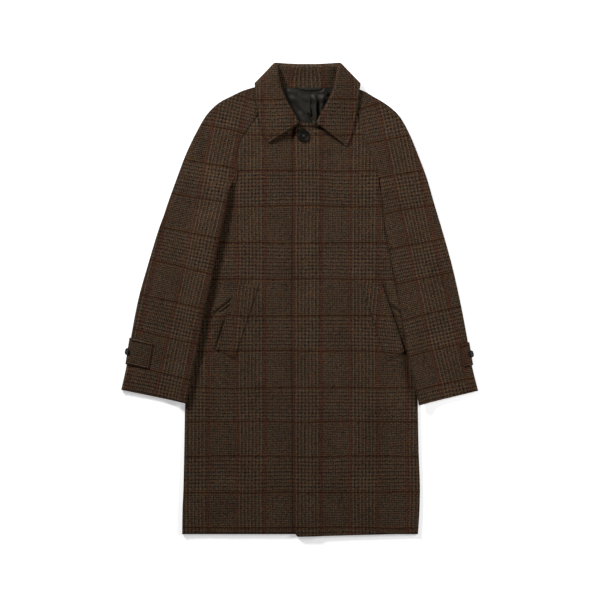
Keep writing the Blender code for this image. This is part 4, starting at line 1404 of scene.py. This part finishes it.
def make_loop():
    rows = []
    for step in steps_between(-0.5, 0.5, 6):
        pad = LOOP_PAD * (1 - (2 * step) ** 2)
        rows.append([Vector((LOOP_X + LOOP_HALF_LENGTH * t,
                             LOOP_Y - LOOP_BOW * (1 - t * t) + LOOP_WIDTH * step,
                             LOOP_Z + LOOP_WALL + LOOP_RISE * (1 - t * t) + pad))
                     for t in steps_between(-1.0, 1.0, 40)])
    lay_sheet("hanger_loop", rows, [flat_chart(row) for row in rows], LOOP_WALL,
              material=satin)


make_lining()
make_loop()

# %% [markdown]
# The buttons are horn, dark with faint streaks, so their noise is read on Object coordinates and
# runs through the button as the streaks do through a horn. The thread is a twisted one, and the
# shade of its strands is painted as light and dark bands along the twist.


# %% Horn and thread
OBJECT_PLACE = 3              # the Texture Coordinate node's Object output


def make_horn(name):
    material, shader = new_material(name, specular=0.055)
    place = Shade(material.node_tree).node("ShaderNodeTexCoord", output=OBJECT_PLACE)
    streaks = cloud(place, 160.0, 3.0, Distortion=1.5)
    feed(shader, "Base Color", streaks.tint((0.003, 0.0031, 0.0027, 1), (0.0095, 0.0092, 0.0078, 1)))
    feed(shader, "Roughness", 0.3 + streaks * 0.25)
    return material


def make_thread(name):
    material, shader = new_material(name, sheen=0.3)
    place = Shade(material.node_tree).node("ShaderNodeTexCoord", output=OBJECT_PLACE)
    painted_twist_shade = place.node("ShaderNodeTexWave", {}, {"Vector": place, "Scale": 900.0})
    # Painted shade of the twisted strands: light and dark bands in the thread's base colour.
    feed(shader, "Base Color", painted_twist_shade.tint((0.012, 0.009, 0.007, 1), (0.03, 0.022, 0.016, 1)))
    feed(shader, "Roughness", 0.8)
    return material


horn = make_horn("horn")
thread = make_thread("sewing_thread")
print("materials:", [material.name for material in (wool, satin, horn, thread)])

# %% [markdown]
# A button has a raised rim, a dished centre and four holes sewn through with thread. It starts
# as a disc primitive, which is inset and pushed step by step in edit mode as on a lathe, and a
# bevel softens its rims. A small ring lies round each hole, and two bars of thread cross them.

# %% The disc of a button
BUTTON_RADIUS = 14.0
BUTTON_THICK = 2.6
BUTTON_FOOT = 0.6             # the thread's shank holds it off the cloth
BUTTON_STEPS = [(0.93, 1.3), (0.84, 0.0), (0.74, -1.0), (0.60, -0.35)]   # inset to, push up by


def faces_selected(piece, test):
    bpy.ops.object.mode_set(mode="OBJECT")
    for face in piece.data.polygons:
        face.select = test(face)
    for edge in piece.data.edges:
        edge.select = False
    for vertex in piece.data.vertices:
        vertex.select = False
    for face in piece.data.polygons:
        if face.select:
            for corner in face.vertices:
                piece.data.vertices[corner].select = True
    bpy.ops.object.mode_set(mode="EDIT")


def turn_disc(name):
    radius = BUTTON_RADIUS * MM
    deselect()
    bpy.ops.mesh.primitive_cylinder_add(
        vertices=64, radius=radius, depth=BUTTON_THICK * MM,
        location=(0, 0, (BUTTON_THICK / 2 + BUTTON_FOOT) * MM))
    piece = bpy.context.object
    piece.name = piece.data.name = name
    bpy.ops.object.transform_apply(location=True, rotation=True, scale=True)
    bpy.ops.object.mode_set(mode="EDIT")
    bpy.ops.mesh.select_mode(type="FACE")
    faces_selected(piece, lambda face: face.normal.z > 0.9)
    inner = 1.0
    for share, rise in BUTTON_STEPS:
        bpy.ops.mesh.inset(thickness=(inner - share) * radius)
        bpy.ops.transform.translate(value=(0, 0, rise * MM))
        inner = share
    bpy.ops.object.mode_set(mode="OBJECT")
    bevel = piece.modifiers.new("Soft rims", "BEVEL")
    bevel.width = 0.5 * MM
    bevel.segments = 3
    bevel.limit_method = "ANGLE"
    bpy.ops.object.modifier_apply(modifier=bevel.name)
    bpy.ops.object.shade_smooth_by_angle(angle=math.radians(40))
    piece.data.materials.append(horn)
    return piece


print("steps in a button's face:", len(BUTTON_STEPS))

# %% [markdown]
# The rings and the bars of thread are made in place on the disc and joined to it. The finished
# button is then moved by its mesh, so that the object itself stays at the origin.

# %% A button, sewn on
HOLE_PLACE, HOLE_RADIUS, HOLE_RIM = 2.9, 1.1, 0.35
THREAD_RADIUS = 0.75


def make_button(name, node, scale, matrix):
    """A button made flat on the table and then put in its place."""
    piece = turn_disc(name)
    top = (BUTTON_FOOT + BUTTON_THICK + sum(rise for _, rise in BUTTON_STEPS)) * MM
    side_step = HOLE_PLACE * MM / 1.4
    parts = [piece]
    for across, up in ((-1, -1), (1, -1), (-1, 1), (1, 1)):
        deselect()
        bpy.ops.mesh.primitive_torus_add(
            major_segments=20, minor_segments=8, major_radius=HOLE_RADIUS * MM,
            minor_radius=HOLE_RIM * MM, location=(across * side_step, up * side_step, top))
        bpy.context.object.data.materials.append(horn)
        parts.append(bpy.context.object)
    for turn in (45, -45):
        deselect()
        bpy.ops.mesh.primitive_cylinder_add(
            vertices=12, radius=THREAD_RADIUS * MM, depth=2 * HOLE_PLACE * MM,
            location=(0, 0, top + 0.15 * MM), rotation=(math.radians(90), 0, math.radians(turn)))
        bpy.context.object.data.materials.append(thread)
        bpy.ops.object.shade_smooth()
        parts.append(bpy.context.object)
    deselect()
    for part in parts:
        part.select_set(True)
    bpy.context.view_layer.objects.active = piece
    bpy.ops.object.join()
    bpy.ops.object.transform_apply(location=True, rotation=True, scale=True)
    piece.data.transform(matrix @ Matrix.Scale(scale, 4))
    piece.data.update()
    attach(piece, "root")
    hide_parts(node)
    print(name, len(piece.data.polygons), "faces")


# %% [markdown]
# The top button lies flat on the left front. Each cuff's button is smaller and sits on the strap
# where it turns round the outer fold, so it leans outwards and shows little more than its edge.

# %% The three buttons
BUTTON_X, BUTTON_Y = 6.0, 920.0
CUFF_BUTTON_TILT = math.radians(35.0)
CUFF_BUTTON_SCALE = 0.58
top_place = on_frame(Vector((BUTTON_X, BUTTON_Y, front_height(LEFT, BUTTON_X, BUTTON_Y) + SEAM)))
make_button("top_horn_button", "top_button", 1.0, Matrix.Translation(top_place))
for side in BOTH:
    line = SleeveLine(side, mix(side.strap.low_row, side.strap.high_row, 0.5))
    reach = FOLD_RADIUS + STRAP_WALL + STRAP_GAP + 0.9
    flat, rise = math.cos(CUFF_BUTTON_TILT), math.sin(CUFF_BUTTON_TILT)
    spot = line.place(FOLD_RADIUS - reach * flat, FOLD_RADIUS + reach * rise)
    outward = Vector((-line.along.x * side.sign, -line.along.y, 0.0)).normalized()
    axis = outward * flat + Vector((0, 0, rise))
    place = on_frame(Vector((side.sign * spot.x, spot.y, spot.z)))
    matrix = Matrix.Translation(place) @ axis.to_track_quat("Z", "Y").to_matrix().to_4x4()
    make_button(side.name + "_cuff_horn_button", side.name + "_cuff_button",
                CUFF_BUTTON_SCALE, matrix)

# %% [markdown]
# Every sheet is listed with the size that it was cut to. Each number is the panel's own width
# and length before sewing, with what is folded under counted in, and each row also says how the
# sheet is held and what it lies on. The loop prints how much of that rectangle each laid sheet
# covers.

CUT = {
    "right_front_cloth": ((0.36, 1.01), "laid", ["back_cloth"]),
    "left_front_cloth": ((0.36, 1.02), "laid", ["right_front_cloth"]),
    "back_cloth": ((0.55, 1.03), "laid", []),
    "right_sleeve_front_cloth": ((0.26, 0.80), "folded", ["right_front_cloth"]),
    "left_sleeve_front_cloth": ((0.25, 0.80), "folded", ["left_front_cloth"]),
    "right_sleeve_back_cloth": ((0.20, 0.80), "laid", []),
    "left_sleeve_back_cloth": ((0.20, 0.80), "laid", []),
    "collar_fall_cloth": ((0.50, 0.10), "folded", ["collar_stand_cloth"]),
    "collar_stand_cloth": ((0.45, 0.05), "folded", []),
    "right_pocket_welt_cloth": ((0.055, 0.168), "laid", ["right_front_cloth"]),
    "left_pocket_welt_cloth": ((0.055, 0.170), "laid", ["left_front_cloth"]),
    "right_cuff_strap_cloth": ((0.085, 0.064), "folded", ["right_sleeve_front_cloth"]),
    "left_cuff_strap_cloth": ((0.050, 0.062), "folded", ["left_sleeve_front_cloth"]),
    "neck_lining_cloth": ((0.14, 0.11), "laid", ["back_cloth"]),
    "hanger_loop_cloth": ((0.055, 0.012), "folded", ["collar_stand_cloth"]),
}
for name, (flat, held, below) in CUT.items():
    piece = bpy.data.objects[name]
    area = sum(face.area for face in piece.data.polygons) / 2
    whole = flat[0] * flat[1]
    print(name, "cut", flat, "covers", round(area / whole, 2), "of its rectangle")

# %% [markdown]
# The coat lies on a plain pale floor that glows a little, as a lit table does, so that shadows on
# it stay faint. A soft lamp stands low beyond the collar on the viewer's left. It puts the
# shadows beside the sleeve, under the collar and under its points. A weaker lamp on the right and
# a faint sky fill them.

# %% The floor
FLOOR_GLOW = 0.45


def add_floor():
    deselect()
    bpy.ops.mesh.primitive_plane_add(size=12.0, location=(0, 0, -0.0004))
    floor = bpy.context.object
    floor.name = "pale_floor"
    material, shader = new_material("pale_floor")
    feed(shader, "Base Color", (0.86, 0.86, 0.86, 1.0))
    feed(shader, "Roughness", 0.9)
    feed(shader, "Emission Color", (1.0, 1.0, 1.0, 1.0))
    feed(shader, "Emission Strength", FLOOR_GLOW)
    floor.data.materials.append(material)
    print("the floor is", floor.dimensions.x, "m wide")


add_floor()

# %% [markdown]
# A large disc lamp gives the soft edge that a photographer's window or softbox gives. The picture
# keeps its plain tones, because the view transform is the standard one.

# %% The lamps and the sky
KEY_PLACE, KEY_AIM = (-1.6, 2.0, 1.45), (0, 0.1, 0)
FILL_PLACE, FILL_AIM = (1.55, 0.25, 1.1), (0.1, 0, 0)
SKY, SKY_STRENGTH = (0.95, 0.97, 1.0, 1.0), 0.07


def add_light(name, place, aim, size, power):
    deselect()
    bpy.ops.object.light_add(type="AREA", location=place)
    light = bpy.context.object
    light.name = name
    light.data.shape = "DISK"
    light.data.size = size
    light.data.energy = power
    light.rotation_mode = "QUATERNION"
    light.rotation_quaternion = (Vector(aim) - Vector(place)).to_track_quat("-Z", "Y")
    print(name, "gives", power, "W")


add_light("key", KEY_PLACE, KEY_AIM, 0.7, 106.0)
add_light("right_side", FILL_PLACE, FILL_AIM, 0.8, 24.0)
world = bpy.data.worlds.new("studio")
bpy.context.scene.world = world
world.use_nodes = True
world.node_tree.nodes["Background"].inputs["Color"].default_value = SKY
world.node_tree.nodes["Background"].inputs["Strength"].default_value = SKY_STRENGTH
bpy.context.scene.view_settings.view_transform = "Standard"

# %% [markdown]
# The photograph looks straight down, so the camera does too, from far enough with a long lens
# that the collar doesn't lean. Its height comes from the width of floor that the picture takes in.

# %% The camera
CAMERA_X, CAMERA_Y = 0.0007, -0.0006
CAMERA_LENS = 85.0
FRAME_WIDTH = 1.38
SENSOR = 36.0
deselect()
height = FRAME_WIDTH * CAMERA_LENS / SENSOR + 0.01
bpy.ops.object.camera_add(location=(CAMERA_X, CAMERA_Y, height), rotation=(0, 0, 0))
camera = bpy.context.object
camera.data.lens = CAMERA_LENS
camera.data.sensor_width = SENSOR
camera.data.dof.use_dof = False
camera.data.clip_end = 50.0
bpy.context.scene.camera = camera
print("camera", round(height, 3), "m above the floor")
